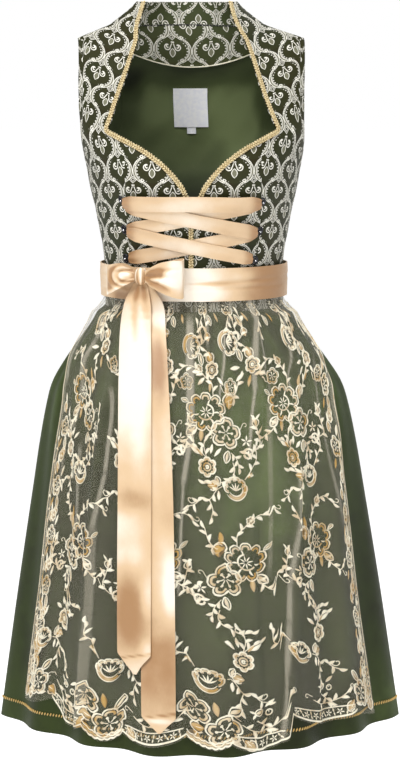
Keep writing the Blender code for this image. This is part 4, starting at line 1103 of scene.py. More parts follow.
def cup_front(side, sign, jacquard):
    grid, reach, level = front_rows(*cup_edges(CUP_ROWS), CUP_STEPS, sign)
    across, up = cloth_run(reach, level)
    grid = sewn_panel(grid, across, up, sign, CUP_RUMPLE)
    return cloth("bodice_centre_" + side, grid, SHELL, jacquard, across, up)


# Back, collar and what lies inside them

BACK_STEPS, BACK_ROWS = 120, 96
BACK_SHOULDER = 21
BACK_BLEND = 0.125
BACK_SIDE_LEVELS = (
    -34, -58, -82, -106, -125, -140, -150.5, UNDERARM, -182, -210, -240, -275, -315, WAIST_SEAM,
)
COLLAR_LEAN, COLLAR_FLARE = 2.0, 1.2
FACING_DROP_CENTRE, FACING_DROP_SIDE = -50.0, -22.0
COLLAR_INSIDE_SHIFT = 15.0
PIPING_RADIUS = 0.9
LABEL_WIDTH, LABEL_HEIGHT, LABEL_TOP, LABEL_CENTRE = 46.0, 52.0, -79.0, -2.0
SIZE_TAB_WIDTH, SIZE_TAB_HEIGHT = 12.0, 9.0
LABEL_THICKNESS, LABEL_CLEARANCE = 0.5, 1.6


def neck_turns():
    return np.radians(np.linspace(0, 180, BACK_STEPS - 2 * BACK_SHOULDER + 1))


def back_tops():
    """Reach, level and depth of the upper end of each of the back's columns, from the left shoulder."""
    reach = mix(SHOULDER_TIP, NECK_BASE, np.arange(BACK_SHOULDER) / BACK_SHOULDER)
    left = np.stack([reach, ridge_level(reach), np.full_like(reach, SHOULDER_SEAM_DEPTH)])
    turn = neck_turns()
    neck = np.stack([NECK_BASE * np.cos(turn), mix(ridge_level(NECK_BASE), NECK_SEAM_LEVEL, np.sin(turn)),
                     mix(SHOULDER_SEAM_DEPTH, NECK_SEAM_BACK, np.sin(turn))])
    right = left[:, ::-1] * np.array([[-1], [1], [1]])
    return np.concatenate([left, neck, right], axis=1)


def back_grid():
    tip = ridge_level(SHOULDER_TIP)
    levels = along((tip,) + BACK_SIDE_LEVELS, np.linspace(0, len(BACK_SIDE_LEVELS), BACK_ROWS + 1))
    share = ((tip - levels) / (tip - WAIST_SEAM))[:, None]
    reach, top_level, top_depth = back_tops()[:, None, :]
    level = mix(top_level, WAIST_SEAM, share)
    edge = side_reach(level)
    turn = angle_of(np.abs(reach), top_level) / angle_of(SHOULDER_TIP, tip) * angle_of(edge, level)
    wide = np.minimum(read(TORSO, level, "half_width") * np.sin(turn), edge)
    depth = read(TORSO, level, "back") * torso_share(wide, level)
    across = mix(reach, np.copysign(wide, reach), np.minimum(share / BACK_BLEND, 1))
    grid = stacked(across + sway(level), mix(top_depth, depth, rounding(top_level - level)), level)
    grid[:, [0, -1], 1] += SEAM_GAP
    shoulder = list(range(1, BACK_SHOULDER + 1)) + list(range(-BACK_SHOULDER - 1, -1))
    grid[0, shoulder, 1] += SEAM_GAP
    return grid


def collar_grid(rows):
    share = np.linspace(0, 1, rows + 1)[:, None]
    turn = neck_turns()[None, :]
    low = mix(ridge_level(NECK_BASE), NECK_SEAM_LEVEL, np.sin(turn)) + SEAM_GAP
    level = mix(COLLAR_LEVEL, low, share)
    reach = mix(COLLAR_TOP, NECK_BASE, share ** COLLAR_FLARE)
    back = mix(NECK_SEAM_BACK - COLLAR_LEAN, NECK_SEAM_BACK, share)
    grid = stacked(reach * np.cos(turn) + sway(level), mix(SHOULDER_SEAM_DEPTH, back, np.sin(turn)), level)
    grid[:, [0, -1], 1] += SEAM_GAP
    return grid


def facing_drop(reach):
    share = np.minimum(np.abs(reach) / NECK_BASE, 1)
    return mix(FACING_DROP_CENTRE, FACING_DROP_SIDE, share ** 2)


def down_columns(grid, levels):
    """The points of a grid's columns at the given levels, one row of points."""
    row = np.empty((grid.shape[1], 3))
    for j in range(grid.shape[1]):
        column = grid[::-1, j]
        for axis in range(3):
            row[j, axis] = np.interp(levels[j], column[:, 2], column[:, axis])
    return row


def inside_back(place, level, layers):
    """On the lining's inner face at the back, found by the level and the place across."""
    depth = read(TORSO, level, "back") * torso_share(place, level)
    depth = mix(NECK_SEAM_BACK, depth, rounding(NECK_SEAM_LEVEL - level))
    return stacked(place + sway(level), depth - layers, level)


def make_back(looks):
    grid = back_grid()
    length, drop = run_across(grid), run_down(grid)
    middle = length[:, BACK_STEPS // 2][:, None]
    crease = 0.4 * ripple(length - middle, drop, 23, 60)
    outer = moved(grid, seam_dip(length, drop, top=True) + crease)
    back = cloth("bodice_back_piece", outer, SHELL, looks["jacquard"], length - middle, -drop)
    lining = moved(grid, -(SHELL + LAYER_GAP + 0.3))
    soft = 0.5 * ripple(length - middle, drop * 0.7, 29, 48)
    # Painted light on the lining: the listed highlights and shade, a little lighter on its soft ripples'
    # crests and painted shade in their troughs
    shine = gleaming(lining[..., 0], lining[..., 2], LINING_GLEAMS) + soft * 0.3
    lining_piece = cloth("back_lining_piece", moved(lining, soft), LINING, looks["lining_satin"],
                         shades=shine)
    collar = collar_grid(24)
    run, fall = run_across(collar), run_down(collar)
    centre = run[:, run.shape[1] // 2][:, None]
    outer = moved(collar, seam_dip(run, fall, top=True, foot=True))
    collar_piece = cloth("collar_outside", outer, SHELL, looks["jacquard"], run - centre, -fall)
    inside = moved(lining, -(LINING + FACING_GAP))
    columns = slice(BACK_SHOULDER, BACK_STEPS - BACK_SHOULDER + 1)
    inside = inside[:, columns]
    high = moved(collar[:-1], -(SHELL + LINING + LAYER_GAP + FACING_GAP + 0.3))
    top = inside[0]
    drops = facing_drop(top[:, 0] - sway(top[:, 2]))
    rows = [down_columns(inside, mix(top[:, 2], drops, step / 40)) for step in range(41)]
    rows = np.concatenate([high, np.array(rows)])
    run, fall = run_across(rows), run_down(rows)
    centre = run[:, run.shape[1] // 2][:, None]
    seam = rows[len(high)], unit(moved(rows, -1)[len(high)] - rows[len(high)])
    across, up = run - centre, -fall
    across[:len(high)] += COLLAR_INSIDE_SHIFT
    up[:len(high)] *= -1
    facing = cloth("neck_facing_piece", rows, FACING, looks["facing"], across, up)
    seat = moved(rows, -(FACING + LAYER_GAP + PIPING_RADIUS))[-1]
    return back, lining_piece, collar_piece, facing, seat, seam


def make_labels(looks):
    """A bare woven label and its size tab, sewn at the top."""
    pieces = []
    layers = 1.5 + 1.0 + LAYER_GAP + LABEL_CLEARANCE
    tab_top = LABEL_TOP - LABEL_HEIGHT - SEAM_GAP
    for name, width, top, height in (("label_piece", LABEL_WIDTH, LABEL_TOP, LABEL_HEIGHT),
                                     ("size_tab_piece", SIZE_TAB_WIDTH, tab_top, SIZE_TAB_HEIGHT)):
        across = np.linspace(0.5, -0.5, 25)[None, :] * width
        down = np.linspace(0, 1, 25)[:, None]
        level = top - height * down + 0 * across
        grid = inside_back(LABEL_CENTRE + across, level, layers)
        grid[..., 1] -= 1.2 * down * np.cos(across / width * 3) ** 2
        pieces.append(cloth(name, grid, LABEL_THICKNESS, looks["pale_weave"]))
    return pieces


# Braid, lacing and hooks

BRAID_WIDTH, BRAID_THICKNESS, BRAID_LIFT = 5.8, 1.2, 1.0
BRAID_UNDER_SASH, BRAID_LEFT_END = 20.0, -225.0
Hook = namedtuple("Hook", "name place level lift")
HOOKS = table(Hook, (
    ("hook_right_top", -90.5, -215.5, 1.1), ("hook_right_middle", -87.5, -254, 1.4),
    ("hook_right_low", -85.5, -292.5, 2.0), ("hook_left_top", 87.9, -217.5, 1.3),
    ("hook_left_middle", 84.6, -256, 1.45), ("hook_left_low", 78.5, -294.5, 2.0),
))
HOOK_WIDTH, HOOK_HEIGHT, HOOK_WIRE = 7.6, 10.8, 1.0
INNER_WIDTH, INNER_HEIGHT, INNER_WIRE, INNER_LIFT = 3.4, 5.0, 0.8, 0.6
BEAD_RADIUS, BEAD_LIFT = 1.5, 1.6
LACE_WIDTH, LACE_END_SHARE, LACE_TAPER, LACE_ROUND = 19.0, 0.55, 10.0, 0.55
Lace = namedtuple("Lace", "name start_place start_level end_place end_level lift")
LACES = table(Lace, (
    ("lacing_rising_top", -83, -253, 82, -219, 3.6), ("lacing_rising_low", -81, -291, 80, -257, 3.6),
    ("lacing_falling_top", -84, -221, 80, -256, 5.4), ("lacing_falling_low", -82, -256, 74, -291, 5.4),
    ("lacing_bar", -86, -216, 83.5, -217, 7.4),
))


def braid_route(sign):
    """The neckline edge from the collar down to the corner, the cup's edge and the centre front."""
    route = [(row.inner_reach, row.inner_level) for row in SIDE_TOP_ROWS]
    route += [(PRINCESS[0].reach, PRINCESS[0].level)]
    cups = [(row.reach, row.level) for row in SWEETHEART]
    if sign > 0:
        cups = [pair for pair in cups if pair[1] > BRAID_LEFT_END]
    else:
        cups = [pair for pair in cups if pair[1] > SASH_TOP]
        cups.append((SWEETHEART[-1].reach, SASH_TOP - BRAID_UNDER_SASH))
    return np.array(route + cups)


def braid_strip(sign, width, lift, steps=9):
    """Points along and across the braid, its inner edge on the edge of the cloth, with its route."""
    pairs = braid_route(sign)
    length = np.concatenate([[0], np.cumsum(np.hypot(*np.diff(pairs, axis=0).T))])
    fine = np.linspace(0, length[-1], int(length[-1] / 2.2))
    reach, level = (np.interp(fine, length, pairs[:, k]) for k in (0, 1))
    for _ in range(2):
        reach[1:-1], level[1:-1] = (
            (line[:-2] + 2 * line[1:-1] + line[2:]) / 4 for line in (reach, level))
    edge = front_point(sign * reach, level)
    tangent = unit(np.gradient(edge, axis=0))
    outward = unit(np.cross(front_normal(sign * reach, level), tangent)) * sign
    share = np.linspace(0, 1, steps)
    spot = edge[:, None] + outward[:, None] * (width * share)[None, :, None]
    dome = np.sin(math.pi * share)[None, :]
    grid = on_front(spot[..., 0], spot[..., 2], lift + dome * 0.5)
    return grid if sign > 0 else grid[:, ::-1]


def make_lace(lace, satin):
    """A satin ribbon across the front between two hooks, narrow where it enters them."""
    share = np.linspace(0, 1, 121)[None, :]
    length = abs(lace.end_place - lace.start_place)
    end = np.minimum(share, 1 - share) * length
    width = LACE_WIDTH * mix(LACE_END_SHARE, 1, np.minimum(end / LACE_TAPER, 1) ** LACE_ROUND)
    place = mix(lace.start_place, lace.end_place, share)
    level = mix(lace.start_level, lace.end_level, share)
    across = np.linspace(0.5, -0.5, 17)[:, None]
    pinch = np.exp(-(end / 11) ** 2)
    fold = 0.7 * pinch * np.cos(across * 9 + 0.6)
    soft = 0.25 * ripple(place, across * 30, len(lace.name) + int(lace.lift * 10), 34)
    grid = on_front(place, level + across * width, lace.lift + RIBBON / 2 + fold + soft)
    # Painted light on the ribbon: painted shade at both ends, where it goes into the hooks, and the listed
    # highlights and shade along it
    shine = gleaming(share, across + 0.5, LACE_GLEAMS)
    return cloth(lace.name + "_ribbon", grid, RIBBON, satin, shades=shine)


# Sash and bow

SASH_TOP, SASH_FOOT = -303.0, -346.0
SASH_THICKNESS, SASH_LIFT_FRONT, SASH_LIFT_BACK = 1.6, 6.4, 3.4
SASH_BLEND, SASH_BLEND_AT = 3.0, 0.6
SashRow = namedtuple("SashRow", "down swell")
SASH_ROWS = table(SashRow, (
    (0, 0), (0.3, 0.9), (0.65, 0.6), (1, 0),
))
KNOT_PLACE, KNOT_LEVEL, KNOT_DEPTH = -66.5, -313.0, -98.4
KNOT_WIDTH, KNOT_HEIGHT, KNOT_THICKNESS, LOOP_SEAT, LOOP_THICKNESS = 16.0, 22.0, 15.0, 2.0, 0.9
Crease = namedtuple("Crease", "start end start_down end_down depth width")
SASH_CREASES = table(Crease, (
    (-75, 10, 0.30, 0.38, -0.9, 0.06), (-30, 62, 0.52, 0.36, -1.1, 0.05), (-50, 75, 0.66, 0.60, -0.7, 0.05),
    (-90, -20, 0.62, 0.80, 0.7, 0.08), (70, 170, 0.40, 0.30, -1.0, 0.06), (90, 200, 0.66, 0.58, -0.8, 0.06),
    (150, 260, 0.28, 0.45, -0.9, 0.06), (190, 290, 0.70, 0.62, -0.8, 0.05),
))


def creased(turn, down, creases, full=360.0):
    """Troughs and ridges that run along a band between two places and fade out at their ends."""
    lift = 0.0
    for crease in creases:
        middle, half = (crease.start + crease.end) / 2, (crease.end - crease.start) / 2
        away = (turn - middle + full / 2) % full - full / 2
        share = clamp((away + half) / (2 * half))
        centre = mix(crease.start_down, crease.end_down, share)
        fade = np.sin(math.pi * share) ** 0.5 * (np.abs(away) < half)
        lift = lift + crease.depth * fade * np.exp(-((down - centre) / crease.width) ** 2)
    return lift


# Where satin shines (above 0) or lies in shade (below 0): place along and down, half sizes and strength
Gleam = namedtuple("Gleam", "along down half_along half_down strength")
SASH_GLEAMS = table(Gleam, (
    (-2, 0.25, 20, 0.5, 1.1), (0, 0.8, 22, 0.3, 1.1), (10, 0.48, 16, 0.07, -0.8), (55, 0.5, 26, 1.5, -0.9),
    (30, 0.3, 9, 0.25, 0.5), (-64, 0.3, 12, 0.4, 0.4), (-48, 0.85, 16, 0.25, -0.7),
    (180, 0.3, 30, 0.5, 0.6), (130, 0.6, 22, 0.5, -0.5), (230, 0.6, 25, 0.4, -0.4),
))
LINING_GLEAMS = table(Gleam, (
    (5, -118, 80, 40, 0.9), (-20, -185, 60, 45, 0.45), (0, -60, 140, 14, -0.4), (-55, -100, 22, 30, 0.5),
    (72, -115, 22, 50, 0.9), (95, -95, 22, 36, -0.6), (-84, -76, 16, 20, -0.7), (10, -225, 40, 26, -0.7),
    (60, -150, 30, 40, 0.3),
))
LACE_GLEAMS = table(Gleam, (
    (0.0, 0.5, 0.07, 2, -0.8), (1.0, 0.5, 0.07, 2, -0.8), (0.45, 0.4, 0.3, 0.6, 0.55),
    (0.2, 0.8, 0.12, 0.3, -0.35), (0.76, 0.2, 0.12, 0.3, -0.3),
))
FRONT_TAIL_GLEAMS = table(Gleam, (
    (0.4, -440, 0.7, 95, 1.15), (0.5, -335, 0.6, 12, -0.8), (0.15, -628, 0.5, 22, 0.7),
    (0.6, -592, 0.6, 14, -0.5), (0.3, -664, 0.6, 16, 0.6), (0.9, -714, 0.2, 26, 0.8),
    (0.9, -780, 0.2, 12, 0.7), (0.4, -740, 0.6, 46, -0.9), (0.5, -806, 0.8, 14, 0.5),
))
BACK_TAIL_GLEAMS = table(Gleam, (
    (0.7, -365, 0.5, 22, 1.0), (0.7, -425, 0.5, 36, -0.5), (0.7, -520, 0.6, 50, 0.5),
    (0.7, -610, 0.5, 22, -0.3), (0.9, -700, 0.25, 46, 1.2), (0.5, -800, 0.8, 66, -0.85),
    (0.5, -872, 0.6, 4, 0.9), (0.5, -882, 0.8, 8, 0.3),
))
RIGHT_LOOP_GLEAMS = table(Gleam, (
    (1.4, 0.4, 0.9, 0.16, 1.1), (3.2, 0.62, 0.7, 0.35, -1.0), (2.9, 0.2, 0.6, 0.12, -0.7),
    (4.3, 0.5, 0.5, 0.8, 0.9), (0.0, 0.5, 0.7, 0.6, -0.8), (3.4, 0.95, 1.6, 0.08, 0.9),
))
LEFT_LOOP_GLEAMS = table(Gleam, (
    (3.6, 0.35, 1.0, 0.45, 1.3), (1.4, 0.3, 1.0, 0.13, -2.2), (0.4, 0.6, 0.5, 0.2, -1.6),
    (2.2, 0.62, 0.8, 0.14, 0.5), (1.8, 0.85, 1.2, 0.14, -0.5), (5.0, 0.5, 0.25, 0.9, 0.6),
))


def gleaming(along, down, gleams):
    """How bright or shaded the satin is at each point."""
    total = 0.0
    for gleam in gleams:
        away = np.abs((along - gleam.along) / gleam.half_along) ** 2.4
        total = total + gleam.strength * np.exp(-away - np.abs((down - gleam.down) / gleam.half_down) ** 2.4)
    return total + 0 * along * down


def make_sash(satin):
    turn = np.linspace(0, 360, 270, endpoint=False)[None, :]
    down = np.linspace(0, 1, 26)[:, None]
    level = mix(SASH_TOP, SASH_FOOT, down) + 0 * turn
    front_share = clamp(np.cos(np.radians(turn)) * SASH_BLEND + SASH_BLEND_AT)
    lift = mix(SASH_LIFT_BACK, SASH_LIFT_FRONT, front_share) + read(SASH_ROWS, down, "swell")
    crease = creased(turn, down, SASH_CREASES)
    grid = ring_point(np.radians(turn) + 0 * down, level, lift + crease)
    # Painted light on the sash: the listed highlights and shade, painted shade in its crease troughs and
    # lighter crease ridges
    shine = gleaming((turn + 90) % 360 - 90, down, SASH_GLEAMS) + crease * 0.3
    return cloth("sash_band", grid, SASH_THICKNESS, satin, run_across(grid), mix(0, -43, down) + 0 * turn,
                 wrap=True, shades=shine)


LoopRow = namedtuple("LoopRow", "out top foot depth")
RIGHT_LOOP = table(LoopRow, (
    (1.2, 7, -7, -5.2), (9, 11, -10, -9), (22, 15, -17, -11), (34, 14, -23, -9), (43, 10, -26, -4),
    (46, 8, -24, 2), (43, 11, -22, 6), (34, 14, -18, 8), (22, 14, -13, 7.5), (10, 10, -9, 6.5),
    (1.2, 6, -6, 5),
))
LEFT_LOOP = table(LoopRow, (
    (1.2, 7, -7, -5.2), (10, 12, -12, -10), (25, 19, -18, -14), (40, 22, -24, -12), (50, 22, -27, -5),
    (52, 23, -26, 2), (49, 24, -22, 7), (38, 22, -17, 9), (24, 18, -12, 8), (11, 12, -8, 6.5),
    (1.2, 6, -6, 5),
))
RIGHT_LOOP_WAY, LEFT_LOOP_WAY = (-0.87, 0.49), (0.935, -0.355)
TailRow = namedtuple("TailRow", "level right left lift")
FRONT_TAIL = table(TailRow, (
    (-319, -73, -62, 10.2), (-328, -79, -58, 12.8), (-350, -89, -54.5, 17), (-383, -94, -54, 17),
    (-430, -95, -53, 16.5), (-500, -95.5, -53, 16.5), (-580, -96, -53, 16.5), (-680, -97, -53.5, 16.5),
    (-788, -97, -54, 16.5), (-790, -96, -54.5, 16.5), (-802, -86, -65, 16.5), (-814, -76, -72, 16.5),
))
BACK_TAIL = table(TailRow, (
    (-318, -70, -61, 8.6), (-328, -74, -52, 10.5), (-350, -78, -38, 13.5), (-383, -78, -35, 13.5),
    (-430, -75, -32, 13.5), (-500, -72, -28.5, 13.5), (-580, -69, -25.5, 13.5), (-680, -67.5, -23.5, 13.5),
    (-780, -66.5, -22.5, 13.5), (-867, -66, -22, 13.5), (-869, -65, -22.5, 13.5), (-879, -54, -33, 13.5),
    (-888, -45, -41, 13.5),
))


RIGHT_LOOP_CREASES = table(Crease, (
    (0, 2.6, 0.34, 0.26, -1.2, 0.06), (0, 2.4, 0.66, 0.76, -1.2, 0.06), (5.5, 9.5, 0.3, 0.4, -1.0, 0.08),
    (5.5, 9.9, 0.7, 0.6, -1.0, 0.08),
))
LEFT_LOOP_CREASES = table(Crease, (
    (0, 4.2, 0.40, 0.20, -1.8, 0.07), (0, 3.0, 0.66, 0.84, -1.6, 0.07), (0, 2.4, 0.5, 0.44, -2.6, 0.09),
    (0.6, 3.6, 0.30, 0.34, 2.0, 0.09), (1.0, 3.9, 0.58, 0.62, 1.6, 0.09), (5.5, 9.5, 0.3, 0.4, -1.0, 0.08),
    (5.5, 9.9, 0.7, 0.6, -1.0, 0.08),
))
FallCrease = namedtuple("FallCrease", "top foot top_across foot_across depth width")
FRONT_TAIL_CREASES = table(FallCrease, (
    (0.0, 0.16, 0.35, 0.50, -1.6, 0.12), (0.0, 0.10, 0.70, 0.85, -1.2, 0.12),
    (0.05, 0.5, 0.62, 0.70, 0.5, 0.2), (0.3, 0.95, 0.25, 0.3, -0.4, 0.2),
))
BACK_TAIL_CREASES = table(FallCrease, (
    (0.0, 0.12, 0.45, 0.6, -1.4, 0.12), (0.03, 0.3, 0.75, 0.82, -0.9, 0.12),
    (0.1, 0.5, 0.55, 0.7, -0.7, 0.16), (0.4, 0.97, 0.6, 0.5, 0.5, 0.25),
))


Ring = namedtuple("Ring", "reach depth width")
LOOP_RINGS_START = 22.0
RIGHT_LOOP_RINGS = table(Ring, (
    (5, 0.9, 2.2), (10, -1.6, 2.2), (15, 1.2, 2.2), (20, -1.3, 2.2), (25, 0.8, 2.0),
))
LEFT_LOOP_RINGS = (Ring(12, -0.6, 2.0),)


def make_loop(name, rows, way, satin, creases, rings, gleams):
    """A loop of the bow: the ribbon goes out from the knot, turns and comes back behind itself. Its
    front is creased along its length and in rings round the knot."""
    where = np.linspace(0, len(rows) - 1, 110)
    steps = [namedtuple("Step", "place out top foot depth")(k, *row) for k, row in enumerate(rows)]
    out, top, foot, depth = (read(steps, where, column) for column in ("out", "top", "foot", "depth"))
    way = unit(np.array([way[0], way[1], 0.0]))
    across = np.array([-way[1], way[0], 0.0])
    if across[1] > 0:
        across = -across
    centre = np.array([KNOT_PLACE, KNOT_DEPTH, KNOT_LEVEL])
    spot = centre + way * (out + KNOT_WIDTH / 2 - LOOP_SEAT)[:, None] - across * depth[:, None]
    share = np.linspace(0, 1, 33)[:, None]
    grid = np.repeat(spot[None], 33, axis=0)
    grid[..., 2] += mix(top[None], foot[None], share)
    if way[0] < 0:
        grid = grid[:, ::-1]
        where = where[::-1]
    place = where[None, :] + 0 * share
    lift = creased(place, share + 0 * place, creases, 1000.0)
    away = np.linalg.norm(grid[..., :2] - centre[:2], axis=-1) - LOOP_RINGS_START
    reach = np.hypot(np.maximum(away, 0), 1.35 * (grid[..., 2] - KNOT_LEVEL))
    for ring in rings:
        lift = lift + ring.depth * np.exp(-((reach - ring.reach) / ring.width) ** 2) * clamp(4.6 - place)
    # Painted light on the loop: the listed highlights and shade, painted shade in its crease and ring troughs
    # and lighter ridges
    shine = gleaming(place, share + 0 * place, gleams) + lift * 0.42
    return cloth(name, moved(grid, lift), LOOP_THICKNESS, satin, shades=shine)


def make_knot(satin):
    """The knot: ribbon wound round itself, with upright creases."""
    rings, sides = 46, 64
    tilt = np.linspace(0.04, math.pi - 0.04, rings)[:, None]
    turn = -np.linspace(0, 2 * math.pi, sides, endpoint=False)[None, :]
    girth = np.sin(tilt) ** 0.62
    crease = 0.0
    for place, depth in ((-1.25, 1.5), (-1.95, 1.7), (-0.55, 1.1), (-2.6, 1.0), (1.2, 0.9), (2.2, 1.0)):
        away = (turn - place + math.pi) % (2 * math.pi) - math.pi
        crease = crease - depth * np.exp(-(away / 0.13) ** 2) * np.sin(tilt)
    x = np.cos(turn) * (girth * KNOT_WIDTH / 2 + crease * 0.8)
    y = np.sin(turn) * (girth * KNOT_THICKNESS / 2 + crease)
    z = np.cos(tilt) * KNOT_HEIGHT / 2 + 0 * turn
    grid = stacked(x + KNOT_PLACE, y + KNOT_DEPTH, z + KNOT_LEVEL)
    knot = tube("bow_knot_wrap", grid, satin)
    mesh = knot.data
    # Painted light on the knot: five highlight bands round it, lighter towards its top and darker towards its
    # foot
    shine = (0.9 * np.cos((turn + 1.7) * 5) + 0.7 * np.cos(tilt) + 0 * turn).ravel()
    mesh.attributes.new("shade", "FLOAT", "POINT").data.foreach_set("value", shine)
    mesh.uv_layers.new(name="UVMap")
    loop_points = np.empty(len(mesh.loops), int)
    mesh.loops.foreach_get("vertex_index", loop_points)
    flat = np.stack([(np.arange(rings * sides) % sides) * 0.8, -grid.reshape(-1, 3)[:, 2]], axis=-1) * METRES
    mesh.uv_layers[0].data.foreach_set("uv", flat[loop_points].ravel())
    return knot


def make_tail(name, rows, crown, satin, creases, gleams, fold):
    """A hanging end of the sash, lying down the apron, with its pointed end folded in."""
    levels = np.linspace(rows[0].level, rows[-1].level, 200)[:, None]
    right, left, lift = (read(rows, levels, column) for column in ("right", "left", "lift"))
    across = np.linspace(0, 1, 23)[None, :]
    down = clamp((rows[0].level - levels) / (rows[0].level - rows[-1].level)) + 0 * across
    crease = creased_down(across + 0 * levels, down, creases)
    folded = 0.9 / (1 + np.exp((levels - fold - 8 * across) / 0.35)) + 0 * across
    # seam marks the line where the pointed end folds in; it only darkens the colour, as painted shade along
    # that fold
    seam = np.exp(-((levels - fold - 8 * across) / 1.3) ** 2)
    rise = crown * np.sin(math.pi * across) + crease + folded
    grid = skirt_front_at(mix(right, left, across), levels + 0 * across, lift + rise)
    flat = mix(right, left, across)
    # Painted light on the tail: the listed highlights and shade, painted shade in crease troughs, lighter
    # ridges, and painted shade along the fold
    shine = gleaming(across + 0 * levels, levels + 0 * across, gleams) + crease * 0.4 - seam * 0.7
    return cloth(name, grid, RIBBON, satin, flat - flat[:, :1], levels + 0 * across, shades=shine)


def creased_down(across, down, creases):
    lift = 0.0
    for crease in creases:
        share = clamp((down - crease.top) / (crease.foot - crease.top))
        centre = mix(crease.top_across, crease.foot_across, share)
        fade = np.sin(math.pi * share) ** 0.4 * (down > crease.top) * (down < crease.foot)
        lift = lift + crease.depth * fade * np.exp(-((across - centre) / crease.width) ** 2)
    return lift


# Skirt and apron

SKIRT_GLEAMS = table(Gleam, (
    (0.0, -455, 1.3, 70, 0.4), (1.0, -720, 0.3, 140, -0.5), (0.55, -860, 0.3, 110, -0.45),
    (0.1, -880, 0.4, 110, -0.35), (0.9, -890, 0.25, 50, 0.45), (-0.95, -890, 0.3, 50, 0.3),
    (0.3, -560, 0.3, 110, 0.8), (0.12, -760, 0.14, 60, 0.35), (-0.5, -640, 0.25, 200, -0.6),
    (-0.8, -860, 0.2, 80, -0.4), (-1.0, -700, 0.2, 120, -0.3), (0.62, -800, 0.12, 50, 0.5),
))


def make_skirt(satin):
    pieces = []
    levels = np.concatenate([np.linspace(-360.4, -400, 20), np.linspace(-405, HEM, 76)])[:, None]
    for name, front in (("skirt_front_panel", True), ("skirt_back_panel", False)):
        place = np.linspace(-1, 1, 281)[None, :]
        folds = broad_fold(place, levels) + gather(place, levels)
        # Painted light on the skirt: the listed highlights and shade on the front, only the first broad
        # highlight on the back, and lighter gather crests with painted shade in their troughs
        shine = gleaming(place + 0 * levels, levels + 0 * place, SKIRT_GLEAMS if front else SKIRT_GLEAMS[:1])
        shine = shine + gather(place, levels) * 0.06
        grid = skirt_point(place, levels, folds, front)
        grid[:, [0, -1], 1] = -SEAM_GAP if front else SEAM_GAP
        grid = grid if front else grid[:, ::-1]
        across = place * quarter_length(levels, front)
        if not front:
            across, shine = across[:, ::-1], shine[:, ::-1]
        pieces.append(cloth(name, grid, 1.2, satin, across, levels + 0 * place, shades=shine))
    return pieces


APRON_WIDE, APRON_LONG = 310.0, 566.0
# Where the tulle lies double in a pleat or a fold: across and down at its ends, half width and cover
Pleat = namedtuple("Pleat", "top_across top_down foot_across foot_down width cover")
PLEATS = table(Pleat, (
    (-214, 6, -223, 61, 5, 0.42), (-223, 61, -246, 110, 5, 0.42), (-246, 110, -262, 180, 4, 0.3),
    (-240, 205, -226, 310, 4, 0.30), (-172, 120, -175, 228, 4, 0.42), (-175, 228, -188, 300, 4, 0.42),
    (-188, 300, -182, 447, 7, 0.26), (-182, 440, -178, 566, 9, 0.24), (-9, 30, -14, 179, 8, 0.50),
    (-14, 179, -26, 235, 5, 0.5), (-26, 235, -33, 372, 2.5, 0.45), (31, 4, 25, 60, 3, 0.35),
    (102, 4, 63, 45, 2.5, 0.5), (63, 45, 43, 125, 2.2, 0.55), (157, 4, 113, 85, 7, 0.45),
    (113, 85, 118, 115, 5, 0.45), (118, 115, 94, 195, 3, 0.5), (144, 34, 134, 100, 2, 0.5),
    (226, 16, 191, 104, 2.5, 0.45), (191, 104, 198, 125, 2.5, 0.4), (149, 107, 119, 345, 4, 0.18),
    (188, 232, 177, 295, 3, 0.35), (177, 295, 164, 333, 3.4, 0.4), (164, 333, 151, 382, 3.4, 0.4),
    (151, 382, 144, 432, 3.4, 0.4), (144, 432, 131, 506, 3.2, 0.38), (131, 506, 116, 562, 3.2, 0.36),
    (-306, 60, -306, 566, 6, 0.26), (306, 60, 306, 566, 6, 0.30), (290, 20, 300, 120, 5, 0.4),
    (-286, 16, -300, 120, 5, 0.4), (262, 90, 276, 300, 3, 0.25), (-282, 180, -286, 420, 3, 0.22),
))


def pleat_cover(across, down):
    """How much closer the net lies where it is folded."""
    cover = 0.0
    for row in PLEATS:
        share = (down - row.top_down) / (row.foot_down - row.top_down)
        centre = mix(row.top_across, row.foot_across, clamp(share))
        fade = clamp((share + 0.06) * 9) * clamp((1.06 - share) * 9)
        cover = np.maximum(cover, row.cover * fade * np.exp(-np.abs((across - centre) / row.width) ** 6))
    gathered = np.exp(-(down / 20) ** 2) * (0.16 + 0.12 * np.sin(across / 3.1 + np.sin(across / 11)))
    return cover + np.maximum(gathered, 0)


def make_apron(tulle):
    across = np.linspace(-1, 1, 381)[None, :]
    share = np.concatenate([np.linspace(0, 0.1, 20), np.linspace(0.108, 1, 80)])[:, None]
    flat, down = across * APRON_WIDE + 0 * share, share * APRON_LONG + 0 * across
    cover = pleat_cover(flat, down)
    fine = 0.55 * np.sin(flat / 2.6 + 2 * np.sin(flat / 17)) * np.exp(-((down - 16) / 34) ** 2)
    grid = apron_point(across, share, fine + cover * 1.5)
    return cloth("apron_tulle_panel", grid, TULLE, tulle, flat, -down, shades=cover)


# Embroidery on the apron: shapes drawn in millimetres of flat tulle, then laid on the apron

Shape = namedtuple("Shape", "points faces shade")


